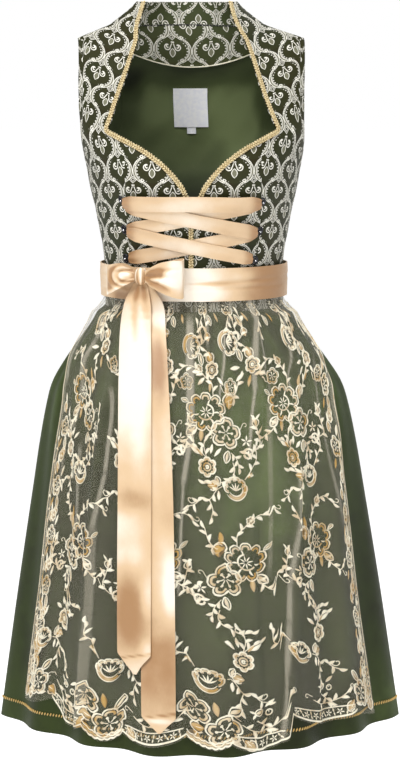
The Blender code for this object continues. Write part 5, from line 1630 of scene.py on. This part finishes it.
def ribbed(path, half_width, height, shade):
    """A raised stroke of thread along a path: four points round each place, closed at both ends."""
    path = np.asarray(path, float)
    count = len(path)
    half_width = np.broadcast_to(half_width, count)
    shade = np.broadcast_to(shade, count)
    tangent = unit(np.gradient(path, axis=0))
    side = np.stack([-tangent[:, 1], tangent[:, 0]], axis=-1)
    rise = height * np.minimum(half_width / max(half_width.max(), 1e-6) + 0.15, 1)
    points = []
    for across, up in ((-1, 0.0), (-0.45, 1.0), (0.45, 1.0), (1, 0.0)):
        spot = path + side * (across * half_width)[:, None]
        points.append(np.column_stack([spot, up * rise]))
    points = np.stack(points, axis=1).reshape(-1, 3)
    faces = []
    for i in range(count - 1):
        for k in range(4):
            m = (k + 1) % 4
            faces.append((i * 4 + k, (i + 1) * 4 + k, (i + 1) * 4 + m, i * 4 + m))
    faces.append((0, 1, 2, 3))
    faces.append(tuple((count - 1) * 4 + k for k in (3, 2, 1, 0)))
    return Shape(points, faces, np.repeat(shade, 4))


def turned(shape, angle=0.0, size=1.0, at=(0.0, 0.0), flip=1.0, shade=0.0, squeeze=1.0):
    """The shape made larger, turned by degrees and moved."""
    turn = math.radians(angle)
    x, y = shape.points[:, 0] * size * flip, shape.points[:, 1] * size
    points = np.column_stack([(x * math.cos(turn) - y * math.sin(turn)) * squeeze + at[0],
                              x * math.sin(turn) + y * math.cos(turn) + at[1], shape.points[:, 2]])
    return Shape(points, shape.faces, np.clip(shape.shade + shade, 0, 1))


def leaf(length=11.0, width=4.4, bend=0.0, shade=0.0, height=0.8):
    """A pointed leaf from its stalk upward, its middle a little lower in tone."""
    t = np.linspace(0, 1, 6)
    path = np.column_stack([bend * length * np.sin(math.pi * t) * 0.35, length * t])
    return [ribbed(path, width / 2 * np.sin(math.pi * np.clip(t, 0.03, 0.97)) ** 0.8, height, shade)]


def outlined(length=12.0, width=6.0, shade=0.0):
    """A leaf drawn with an edge, a vein and open tulle between."""
    t = np.linspace(0, 1, 7)
    half = width / 2 * np.sin(math.pi * t) ** 0.8
    edges = [ribbed(np.column_stack([sign * half, length * t]), 0.6, 0.7, shade) for sign in (-1, 1)]
    inside = leaf(length * 0.8, width * 0.5, 0, min(shade + 0.4, 1), 0.5)
    return edges + [turned(part, 0, 1, (0, length * 0.1)) for part in inside]


def stroke(pairs, half_width=0.55, shade=0.1, count=14):
    """A stem through these places, smooth between them."""
    rows = [namedtuple("Row", "k x y")(k, *pair) for k, pair in enumerate(pairs)]
    where = np.linspace(0, len(pairs) - 1, count)
    path = np.column_stack([read(rows, where, "x"), read(rows, where, "y")])
    return [ribbed(path, half_width, 0.7, shade)]


def ring(radius, half_width=0.9, start=0.0, end=350.0, shade=0.0, stretch=1.0):
    turn = np.radians(np.linspace(start, end, 11))
    path = np.column_stack([radius * np.cos(turn), radius * stretch * np.sin(turn)])
    return [ribbed(path, half_width, 0.9, shade)]


def around(parts, count, radius, size=1.0, start=0.0, shade=0.0, sweep=360.0):
    """The parts set in a circle, pointing outward."""
    shapes = []
    for k in range(count):
        angle = start + sweep * k / count
        x, y = -radius * math.sin(math.radians(angle)), radius * math.cos(math.radians(angle))
        shapes += [turned(part, angle, size, (x, y), shade=shade) for part in parts]
    return shapes


def scalloped_petal(width=11.0, depth=8.0, shade=0.0):
    """A broad petal: a thick scalloped rim of thread round a filling of the other tone."""
    turn = np.radians(np.linspace(-84, 84, 9))
    lobe = 1 + 0.12 * np.abs(np.sin(turn * 2.2))
    rim = np.column_stack([np.sin(turn) * width / 2 * lobe, np.cos(turn) * depth * lobe])
    edge = ribbed(rim, np.clip(0.92 - 0.35 * np.abs(turn) / 1.5, 0.45, 2), 1.3, shade * 0.35)
    filling = ribbed(rim * 0.62, 1.05, 0.5, min(shade + 0.5, 1))
    return [edge, filling]


def eyelet_flower(radius=13.0, petals=5, shade=0.0, start=0.0):
    """An open round flower: rimmed petals, dark tulle, and a star of stamens with knots."""
    shapes = around(scalloped_petal(radius * 0.86, radius * 0.48, shade), petals, radius * 0.50, 1.0, start)
    stamens = [ribbed([(0, 1.0), (0, 2.5), (0, radius * 0.42)], (0.35, 0.5, 0.45), 0.5, 0.05)]
    knot = [turned(part, 0, 1, (0, radius * 0.42)) for part in ring(0.7, 0.55, 0, 340, 0.05)]
    return shapes + around(stamens + knot, petals + 1, 0.0, 1.0, start + 20)


def rose():
    """A full-blown rose: a pale side, a tan side, and petals folded round its heart."""
    shapes = []
    for angle in range(0, 360, 40):
        tan = 0.7 if 190 < angle < 330 else 0.05
        x, y = -13.8 * math.sin(math.radians(angle)), 12.4 * math.cos(math.radians(angle))
        shapes += [turned(part, angle, 1.0, (x, y)) for part in scalloped_petal(11.0, 7.4, tan)]
    for angle, size in ((100, 1.0), (150, 1.1), (205, 1.1), (255, 0.9), (20, 0.9)):
        x, y = -8.0 * math.sin(math.radians(angle)), 7.5 * math.cos(math.radians(angle))
        shapes += [turned(part, angle, size, (x, y)) for part in leaf(7.0, 2.0, 0.4, 0.0, 0.8)]
    shapes += around([ribbed([(0, 1.0), (0, 3.2), (0, 6.2)], (0.3, 0.75, 0.4), 0.7, 0.0)], 8, 0.4, 1.0, 12)
    for radius, width, start, end, shade, at in (
            (7.6, 1.0, 95, 215, 0.0, (-0.6, 0.6)), (8.8, 0.9, 215, 320, 0.5, (1, 1))):
        shapes += [turned(part, 0, 1, at) for part in ring(radius, width, start, end, shade)]
    return shapes


def cabbage_rose():
    """A cupped rose seen from the side: a fan of strokes under a pale scalloped rim, over a tan crescent."""
    shapes = []
    for angle in (-84, -48, -12, 24, 60, 94):
        x, y = 8.6 * math.sin(math.radians(angle)), 7.6 * math.cos(math.radians(angle))
        shapes += [turned(part, -angle, 1.0, (x, y)) for part in scalloped_petal(8.6, 5.4, 0.0)]
    for angle in (-62, -31, 0, 31, 62):
        shapes += [turned(part, -angle, 1.0, (0, -2)) for part in leaf(9.0, 1.8, 0.0, 0.0, 0.8)]
    for reach, low, width, start, end, shade in (
            (9.0, 7.6, 0.8, 150, 330, 0.0), (11.2, 10.2, 2.0, 172, 318, 0.75),
            (13.4, 12.4, 0.7, 165, 325, 0.05)):
        t = np.radians(np.linspace(start, end, 14))
        girth = width * np.sin(np.linspace(0.3, math.pi - 0.3, 14)) ** 0.6
        shapes.append(ribbed(np.column_stack([reach * np.cos(t), low * np.sin(t)]), girth, 0.9, shade))
    return shapes


def little_flower():
    """A small flower with a ring at its heart."""
    shapes = around(scalloped_petal(6.2, 3.6, 0.0), 6, 4.6)
    return shapes + ring(3.4, 0.8, 0, 345, 0.6) + ring(1.2, 0.9, 0, 340, 0.0)


def star():
    return around(leaf(5.0, 1.9, 0.0, 0.0, 0.6), 5, 0.6)


def bud(shade=0.45):
    return ring(3.2, 1.2, 0, 345, shade, 1.15) + ring(1.2, 0.9, 0, 340, 0.0)


def curl(size=1.0):
    """A tendril that winds up at its end."""
    turn = np.linspace(0, 4.6, 18)
    radius = 4.2 * (1 - turn / 6.2)
    path = np.column_stack([radius * np.cos(turn) - 4.2, radius * np.sin(turn) + 8.0])
    tail = np.array([(1.5, 0.0), (1.0, 3.0), (0.3, 5.6)])
    return [turned(ribbed(np.concatenate([tail, path]), 0.55, 0.7, 0.1), 0, size)]


def vine(pairs, shade=0.0, step=8.5, length=10.0, ends=True):
    """A stem through these places with leaves to either side."""
    pairs = np.asarray(pairs, float)
    run = np.concatenate([[0], np.cumsum(np.hypot(*np.diff(pairs, axis=0).T))])
    shapes = stroke(pairs, 0.65, 0.15, 4 + int(run[-1] / 6))
    side = 1
    for place in np.arange(step * 0.6, run[-1] + (step * 0.4 if ends else -step * 0.4), step):
        x, y = (np.interp(place, run, pairs[:, k]) for k in (0, 1))
        k = min(np.searchsorted(run, place), len(run) - 1)
        way = math.degrees(math.atan2(*(pairs[k] - pairs[k - 1])[::-1])) - 90
        last = place + step > run[-1] and ends
        shapes += [turned(part, way + (8 if last else 52 * side), 1.0, (x, y)) for part in
                   leaf(length, 4.6, 0.4 * side, min(shade + 0.12 * (side > 0), 1))]
        side = -side
    return shapes


def spray(shade=0.0, count=3):
    """A short bent stem with leaves on both sides."""
    return vine([(0, 0), (3, 8), (2, 17), (-2, 8.5 * count)], shade, 5.2, 9.5)


def bell():
    """A drop-shaped bud with two leaves."""
    shapes = outlined(9.0, 7.0, 0.0)
    for side in (-1, 1):
        shapes += [turned(part, side * 40, 1.0, (0, 7.5)) for part in leaf(7.0, 2.6)]
    return shapes


MOTIFS = {
    "rose": rose, "cabbage": cabbage_rose, "eyelet": eyelet_flower, "flower": little_flower, "star": star,
    "bud": bud, "curl": curl, "spray": spray, "leaf": leaf, "outlined": outlined, "bell": bell,
    "ring": lambda: ring(4.4, 1.1, 0, 350, 0.05) + leaf(3.0, 1.6, 0, 0.0, 0.6),
    "petal": lambda: leaf(12.0, 8.6, 0.0, 0.8, 0.5) + leaf(9.0, 1.5, 0.0, 0.1) + stroke(
        [(-4, 3), (-5.6, 7), (-3, 11), (0, 12.4), (3, 11), (5.6, 7), (4, 3)], 0.7, 0.1),
    "tan_leaf": lambda: leaf(13.0, 5.2, 0.0, 0.8), "tan_spray": lambda: spray(0.7),
}
# What belongs together, in millimetres from the middle of its chief flower: right, up, turn and size
Sprig = namedtuple("Sprig", "motif right up turn size")
Cluster = namedtuple("Cluster", "sprigs vines")


def cluster(sprigs, vines=()):
    return Cluster(table(Sprig, sprigs), vines)


GREAT_CLUSTER = cluster((
    ("rose", 0, 0, 0, 1.2), ("eyelet", -25, -26, 10, 1.5), ("tan_leaf", -28, 18, 6, 1.3),
    ("petal", -31, 4, 0, 1.5), ("petal", -27, 12, 60, 1.0), ("outlined", 23, 10, -62, 0.9),
    ("outlined", 13, -18, 222, 1.6), ("tan_leaf", 6, -20, 186, 1.3), ("curl", 40, -44, 215, 1.0),
    ("flower", 8, 52, 0, 0.62), ("curl", 36, 50, 240, 0.9), ("ring", -53, -51, 0, 1.35),
    ("star", -52, -36, 10, 1.3), ("bell", -66, -20, 4, 1.2), ("outlined", -27, -48, 196, 1.4),
    ("curl", -46, -22, 20, 0.9), ("leaf", -42, -48, 100, 1.0), ("spray", -30, -50, 150, 0.9),
), (
    ((-10, 19), (-9, 34), (0, 43), (8, 51), (23, 55), (38, 45)), ((-33, 14), (-42, 25), (-47, 42)),
    ((12, -20), (25, -38), (34, -45), (44, -36)),
    ((-46, -50), (-58, -51), (-71, -44), (-69, -30), (-65, -12)),
    ((-32, -62), (-34, -72), (-27, -85), (-13, -90), (2, -88)),
))
SMALL_CLUSTER = cluster((
    ("cabbage", 0, 0, 0, 1.15), ("petal", 38, 4, 90, 1.15), ("flower", 38, 27, 0, 1.45),
    ("outlined", 22, 2, -20, 1.15), ("leaf", 24, -4, 178, 1.1), ("curl", 52, -16, 222, 1.1),
    ("curl", 40, 58, 20, 1.1), ("leaf", 48, 42, -64, 1.3), ("tan_leaf", 44, 40, -40, 0.9),
    ("leaf", 28, 40, 50, 1.2), ("leaf", 33, 44, 14, 1.1), ("tan_leaf", -18, 14, 48, 0.7),
), (
    ((19, 0), (27, -3), (36, -14), (45, -12), (56, -24), (66, -30)), ((36, -14), (32, -26), (34, -36)),
    ((38, 38), (42, 54), (36, 66)), ((40, 40), (50, 48), (58, 50)),
    ((-14, 12), (-24, 24), (-34, 34), (-34, 50)),
))
HIGH_CLUSTER = cluster((
    ("cabbage", 0, 0, -90, 1.1), ("petal", 27, -6, 200, 1.2), ("outlined", 14, -8, 190, 1.25),
    ("flower", 32, -28, 0, 1.2), ("leaf", 14, -30, 96, 1.3), ("leaf", 20, -37, 130, 1.3),
    ("tan_leaf", 30, -40, 170, 1.1), ("curl", 46, -46, 200, 1.0), ("leaf", 40, -38, 230, 1.2),
    ("eyelet", 62, -48, 0, 0.8), ("petal", 30, 6, 20, 0.9),
), (
    ((12, 0), (22, 6), (27, 18), (26, 34)), ((22, 6), (14, 16), (12, 28)), ((33, -14), (27, -8), (20, -2)),
))
WAIST_CLUSTER = cluster((
    ("eyelet", 0, 4, 0, 0.85), ("outlined", 9, -6, 200, 1.2), ("leaf", -14, 6, 60, 1.2),
    ("leaf", 14, 8, -70, 1.2), ("tan_leaf", 24, -4, 200, 0.9),
), (
    ((-2, -8), (-8, -18), (-6, -30)),
))
CORNER_CLUSTER = cluster((
    ("eyelet", 8, 21, 0, 1.45), ("eyelet", -22, 44, 20, 1.35), ("tan_leaf", 2, 42, 12, 1.4),
    ("outlined", 12, 38, -50, 1.7), ("petal", -19, 16, 160, 1.5), ("petal", -12, 24, 110, 1.2),
    ("petal", 29, 12, 230, 1.3), ("tan_leaf", -10, 8, 90, 1.1), ("leaf", 12, 5, -90, 1.2),
))
ARC_CLUSTER = cluster((
    ("bell", 0, 46, 110, 1.2), ("leaf", 4, 48, -60, 1.1), ("ring", 8, 40, 0, 0.8),
    ("curl", 30, 28, -60, 0.9), ("curl", -28, 30, 60, 0.9),
), (
    ((-26, 27), (-12, 21), (4, 20), (20, 23), (30, 30)), ((-8, 34), (0, 28), (8, 20)),
))
EDGE_CLUSTER = cluster((
    ("eyelet", 0, 0, 0, 1.1), ("petal", -6, 18, 20, 1.3), ("outlined", 6, -14, 190, 1.5),
    ("leaf", 10, 14, -30, 1.5), ("tan_leaf", -8, -16, 150, 1.2), ("petal", 8, -26, 170, 1.2),
    ("leaf", -6, 30, 10, 1.4), ("flower", 2, -40, 0, 1.0),
))

Planting = namedtuple("Planting", "cluster across down squeeze")
PLANTINGS = tuple(Planting(own, *place) for own, places in (
    (GREAT_CLUSTER, (
        (17, 141, -1.45), (176, 138, -1.3), (-245, 132, -0.7), (78, 327, 1.45), (-211, 321, 1.0),
        (222, 322, 1.05), (-100, 140, -1.3), (-64, 326, 1.4),
    )),
    (SMALL_CLUSTER, (
        (66, 236, -1.3), (220, 236, -1.0), (-232, 236, -0.8), (-104, 233, -1.1), (12, 479, 1.4),
        (-140, 474, 1.3), (-278, 474, 0.9), (158, 470, 1.2),
    )),
    (HIGH_CLUSTER, (
        (66, 57, 1.4), (208, 58, 1.0), (-226, 40, 1.0), (-93, 58, 1.2), (284, 40, 0.5), (-8, 62, 1.2),
    )),
    (WAIST_CLUSTER, (
        (80, 18, 1.4), (215, 20, 1.1), (-60, 20, 1.3), (-210, 18, 1.0), (150, 22, 1.1), (20, 18, 1.1),
        (-140, 22, 1.1), (270, 22, 0.8),
    )),
    (CORNER_CLUSTER, (
        (-145, 564, 1.3), (22, 564, 1.35), (278, 558, -1.0), (-281, 558, 0.9),
    )),
    (ARC_CLUSTER, (
        (-212, 560, 1.2), (92, 560, 1.3), (-62, 560, 1.3), (205, 560, 1.2),
    )),
    (EDGE_CLUSTER, tuple(
        (side * 288, down, 0.62)
        for side, downs in ((-1, (180, 262, 330, 400, 456, 512)), (1, (120, 200, 290, 350, 430, 500)))
        for down in downs)),
) for place in places)


def make_embroidery(thread):
    """All the sprigs and the edging, laid on the apron."""
    shapes = []
    for planting in PLANTINGS:
        own = [turned(part, sprig.turn, sprig.size, (sprig.right, sprig.up))
               for sprig in planting.cluster.sprigs for part in MOTIFS[sprig.motif]()]
        for line in planting.cluster.vines:
            own += vine(line)
        for shape in own:
            points = shape.points * [planting.squeeze, 1, 1] + [planting.across, -planting.down, 0]
            shapes.append(Shape(points, shape.faces, shape.shade))
    return lay_on_apron("apron_embroidery", shapes, thread), lay_on_apron("apron_edging", edging(), thread)


STITCH_LIFT = 0.25
ARC_RISE = 13.0
ARC_POINTS = 60
RIM_ABOVE_EDGE = 4.2
SCALLOP_STEP, SCALLOP_DEPTH = 9, 1.6
GARLAND_STEP = 8.5


def arc_lines(arc):
    """The edging of one arc or corner of the lower edge: its rim, and over an arc an inner line with a
    garland between."""
    places = np.linspace(arc.start, arc.end, ARC_POINTS)
    across = places / APRON_SIDES[-1].reach * APRON_WIDE
    wide = across[-1] - across[0]
    share = np.linspace(0, 1, ARC_POINTS)
    shapes = []
    is_corner = arc in (SCALLOPS[0], SCALLOPS[2], SCALLOPS[4], SCALLOPS[8])
    waves = max(round(wide / SCALLOP_STEP), 1)
    scallop = SCALLOP_DEPTH * np.abs(np.sin(share * math.pi * waves)) if is_corner else 0.0
    rim = np.column_stack([across, -APRON_LONG + RIM_ABOVE_EDGE - scallop + 0 * across])
    shapes.append(ribbed(rim, 1.4, 1.1, 0.0))
    if is_corner:
        shapes += [ribbed(rim + [0, 3.4], 1.6, 0.7, 0.6), ribbed(rim + [0, 6.6], 1.0, 1.0, 0.0)]
        return shapes
    if arc is SCALLOPS[6]:
        return shapes
    rise = ARC_RISE * np.sin(math.pi * np.clip(share, 0.02, 0.98)) ** 0.15
    inner = np.column_stack([mix(across[0] + 4, across[-1] - 4, share), rim[:, 1] + 1.5 + rise])
    shapes.append(ribbed(inner, 0.9, 0.9, 0.0))
    count = int(wide / GARLAND_STEP)
    for k in range(1, count):
        middle = np.interp(k / count, share, (rim[:, 1] + inner[:, 1]) / 2)
        place = mix(across[0], across[-1], k / count)
        pair = leaf(6.5, 2.6, 0, 0.25)[:1] + [turned(part, 180) for part in leaf(5.5, 2.4, 0, 0.1)]
        motif = star() if k % 2 else pair
        shapes += [turned(part, (k % 3) * 24 - 12, 0.95, (place, middle)) for part in motif]
    return shapes


def edging():
    """Everything embroidered along the apron's lower and side edges."""
    shapes = []
    for arc in SCALLOPS:
        shapes += arc_lines(arc)
    for side in (-1, 1):
        down = np.linspace(0.03, 0.985, 120) * -APRON_LONG
        wave = 1.2 * np.sin(down / 7.0)
        line = np.column_stack([side * (APRON_WIDE - 3.2) + 0 * down, down])
        shapes.append(ribbed(line, 0.7, 0.7, 0.3))
        low = down < -APRON_LONG * 0.30
        inner = np.column_stack([side * (APRON_WIDE - 10.0) + wave[low], down[low]])
        shapes.append(ribbed(inner, 0.55, 0.6, 0.4))
        for k in range(26):
            place = (side * (APRON_WIDE - 9.0 - 4.0 * (k % 2)), -200 - k * 13.4)
            shapes += [turned(part, (k * 67) % 360, 0.8, place)
                       for part in leaf(9.0, 4.0, 0.2, (k % 3) * 0.3)]
    return shapes


def lay_on_apron(name, shapes, material):
    """One mesh from flat shapes, bent to the apron's form."""
    points = np.concatenate([shape.points for shape in shapes])
    shade = np.concatenate([shape.shade for shape in shapes])
    starts = np.cumsum([0] + [len(shape.points) for shape in shapes])
    across = points[:, 0] / APRON_WIDE
    share = -points[:, 1] / APRON_LONG
    on_cloth = []
    faces = []
    for shape, start, end in zip(shapes, starts, starts[1:]):
        if np.all(np.abs(across[start:end]) < 0.999) and share[start:end].min() > 0.02 \
                and share[start:end].max() < 1.0:
            faces += [tuple(start + index for index in face) for face in shape.faces]
            on_cloth.append((start, end))
    keep = np.concatenate([np.arange(start, end) for start, end in on_cloth])
    index = np.full(len(points), -1)
    index[keep] = np.arange(len(keep))
    placed = apron_point(across[keep], share[keep], points[keep, 2] + STITCH_LIFT)
    work = bmesh.new()
    tone = work.verts.layers.float.new("shade")
    verts = []
    for spot, value in zip(placed * METRES, shade[keep]):
        vert = work.verts.new(spot)
        vert[tone] = value
        verts.append(vert)
    for face in faces:
        work.faces.new([verts[index[k]] for k in face])
    return finished(name, work, material)


def make_looks():
    motif = lily_motif()
    return {
        "jacquard": jacquard_look("jacquard", motif),
        "facing": jacquard_look("facing_cloth", motif, "#434527", "#434b2c", "#4a5332", 30.0),
        # Each satin: its base colour, then its painted shade tint and its painted highlight tint
        "green_satin": satin_look("green_satin", "#303b16", "#1d210b", "#586a36", 0.5, 0.7, 0.9, 0.18),
        "lining_satin": satin_look("lining_satin", "#3c4527", "#1f2414", "#66714a", 0.5, 0.7, 0.3, 0.25),
        "satin": satin_look("champagne_satin", "#dcbd96", "#a87f56", "#f6ecdc", 0.36, 0.8, 0.5),
        "tulle": tulle_look(),
        "thread": thread_look("embroidery_thread", "#fbf4de", "#b99350", "#957c4a", 0.5),
        "gimp": gimp_look("gimp", "#a98f58", "#efe0b4"),
        "gimp_ground": gimp_look("gimp_ground", "#6f5a31", "#a98e57"),
        "dark_thread": thread_look("seam_thread", "#0b0b06", "#12120a", "#060604", 0.1),
        "gold": thread_look("hem_gold_thread", "#d2ac62", "#b48d45", "#8a6828", 0.1),
        "pale_weave": weave_look("pale_weave", "#f4f5fb", "#ffffff"),
        "piping": weave_look("piping_cotton", "#e3dcbf", "#f7f2de"),
        "metal": metal_look("dark_metal", "#4a4a50", "#17171a", 0.35),
        "silver": metal_look("silver_bead", "#f4f4f6", "#b9b9c0", 0.2),
    }


def put(piece, *nodes, slot):
    """The piece rides on the dress and stands for these nodes."""
    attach(piece, "root")
    if nodes:
        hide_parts(*nodes)
    return piece


Sheet = namedtuple("Sheet", "name flat area held rests_on")


def main():
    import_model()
    looks = make_looks()
    rows = stitch_row_tree()
    for side, sign in (("right", -1), ("left", 1)):
        put(side_front(side, sign, looks["jacquard"]), "bodice_front_side_" + side, slot="jacquard")
        put(cup_front(side, sign, looks["jacquard"]), "bodice_front_centre_" + side, slot="jacquard")
        put(make_braid(rows, side, sign, looks["gimp"], looks["gimp_ground"]), "neck_braid_" + side,
            slot="gimp")
    back, lining, collar, facing, seat, seam = make_back(looks)
    for piece, name, slot in (
            (back, "bodice_back", "jacquard"), (lining, "back_lining", "green_satin"),
            (collar, "collar_back", "jacquard"), (facing, "neck_facing", "jacquard")):
        put(piece, name, slot=slot)
    put(make_piping(seat, looks["piping"]), "facing_piping", slot="pale_weave")
    for hook in HOOKS:
        put(make_hook(hook, looks["metal"], looks["silver"]), hook.name, slot="dark_metal")
    put(make_hem_stitches(rows, looks["gold"]), slot="gimp")
    place, out = seam
    put(stitch_row(rows, "facing_seam_stitches", place + out * (FACING + 0.1), out, looks["dark_thread"],
                   Pitch=4.4, Length=4.2, Width=2.2, Height=1.3, Turn=0, Unevenness=0.25, Seed=4),
        slot="jacquard")
    label, tab = make_labels(looks)
    put(label, "woven_label", slot="pale_weave")
    put(tab, "size_tab", slot="pale_weave")
    for lace in LACES:
        put(make_lace(lace, looks["satin"]), lace.name, slot="champagne_satin")
    satin = looks["satin"]
    put(make_sash(satin), "waist_sash", slot="champagne_satin")
    for name, form, way, creases, rings, gleams in (
            ("bow_loop_right", RIGHT_LOOP, RIGHT_LOOP_WAY, RIGHT_LOOP_CREASES, RIGHT_LOOP_RINGS,
             RIGHT_LOOP_GLEAMS),
            ("bow_loop_left", LEFT_LOOP, LEFT_LOOP_WAY, LEFT_LOOP_CREASES, LEFT_LOOP_RINGS,
             LEFT_LOOP_GLEAMS)):
        put(make_loop(name + "_ribbon", form, way, satin, creases, rings, gleams), name,
            slot="champagne_satin")
    put(make_knot(satin), "bow_knot", slot="champagne_satin")
    for name, form, crown, creases, gleams, fold in (
            ("bow_tail_front", FRONT_TAIL, 1.2, FRONT_TAIL_CREASES, FRONT_TAIL_GLEAMS, -795),
            ("bow_tail_back", BACK_TAIL, 0.3, BACK_TAIL_CREASES, BACK_TAIL_GLEAMS, -870)):
        put(make_tail(name + "_ribbon", form, crown, satin, creases, gleams, fold), name,
            slot="champagne_satin")
    skirt_front, skirt_back = make_skirt(looks["green_satin"])
    put(skirt_front, "skirt_front", slot="green_satin")
    put(skirt_back, "skirt_back", slot="green_satin")
    put(make_apron(looks["tulle"]), "apron", slot="apron_tulle")
    for sewn in make_embroidery(looks["thread"]):
        put(sewn, slot="champagne_satin")
    make_camera()
    make_stage()


def make_camera():
    """The viewing height and lens that show the dress as it hangs."""
    data = bpy.data.cameras.new("camera")
    data.sensor_fit, data.sensor_height, data.lens = "VERTICAL", 36, 115.47
    camera = bpy.data.objects.new("camera", data)
    camera.location = (0.0089, -3.2, 0.0045)
    camera.rotation_euler = (math.radians(90 - 8.268), 0, 0)
    bpy.context.scene.collection.objects.link(camera)
    bpy.context.scene.camera = camera


Lamp = namedtuple("Lamp", "name place energy size")
LAMPS = table(Lamp, (
    ("key", (-1.9, -2.6, 2.0), 36, 0.9), ("fill", (2.4, -2.6, 0.4), 10, 1.8),
    ("back_light", (1.2, 2.6, 1.6), 30, 1.6), ("inside", (0.0, -1.2, 1.3), 16, 0.5),
))
SUN_TURN, SUN_STRENGTH, SUN_SOFT = (42, -12, -20), 0.9, 20


def make_stage():
    """A pale floor, a pale room and soft lamps."""
    scene = bpy.context.scene
    scene.view_settings.view_transform = "Standard"
    world = bpy.data.worlds.new("studio")
    scene.world = world
    world.use_nodes = True
    tree = world.node_tree
    air = tree.nodes["Background"]
    room = tree.nodes.new("ShaderNodeBackground")
    room.inputs["Strength"].default_value = 1.0
    room.inputs["Color"].default_value = (1, 1, 1, 1)
    air.inputs["Color"].default_value = (1, 1, 1, 1)
    air.inputs["Strength"].default_value = 0.36
    path, mixed = tree.nodes.new("ShaderNodeLightPath"), tree.nodes.new("ShaderNodeMixShader")
    tree.links.new(path.outputs["Is Camera Ray"], mixed.inputs["Fac"])
    tree.links.new(air.outputs[0], mixed.inputs[1])
    tree.links.new(room.outputs[0], mixed.inputs[2])
    tree.links.new(mixed.outputs[0], tree.nodes["World Output"].inputs["Surface"])
    mesh = bpy.data.meshes.new("floor")
    mesh.from_pydata([(-30, -30, -1.4), (30, -30, -1.4), (30, 30, -1.4), (-30, 30, -1.4)], [], [(0, 1, 2, 3)])
    floor = new_object("floor", mesh)
    floor.data.materials.append(paper_look())
    sun = bpy.data.lights.new("daylight", "SUN")
    sun.energy, sun.angle = SUN_STRENGTH, math.radians(SUN_SOFT)
    thing = bpy.data.objects.new("daylight", sun)
    thing.rotation_euler = [math.radians(angle) for angle in SUN_TURN]
    scene.collection.objects.link(thing)
    for row in LAMPS:
        lamp = bpy.data.lights.new(row.name, "AREA")
        lamp.energy, lamp.size = row.energy, row.size
        thing = bpy.data.objects.new(row.name, lamp)
        thing.location = row.place
        thing.rotation_euler = (Vector((0, 0, -0.45)) - thing.location).to_track_quat("-Z", "Y").to_euler()
        scene.collection.objects.link(thing)


main()
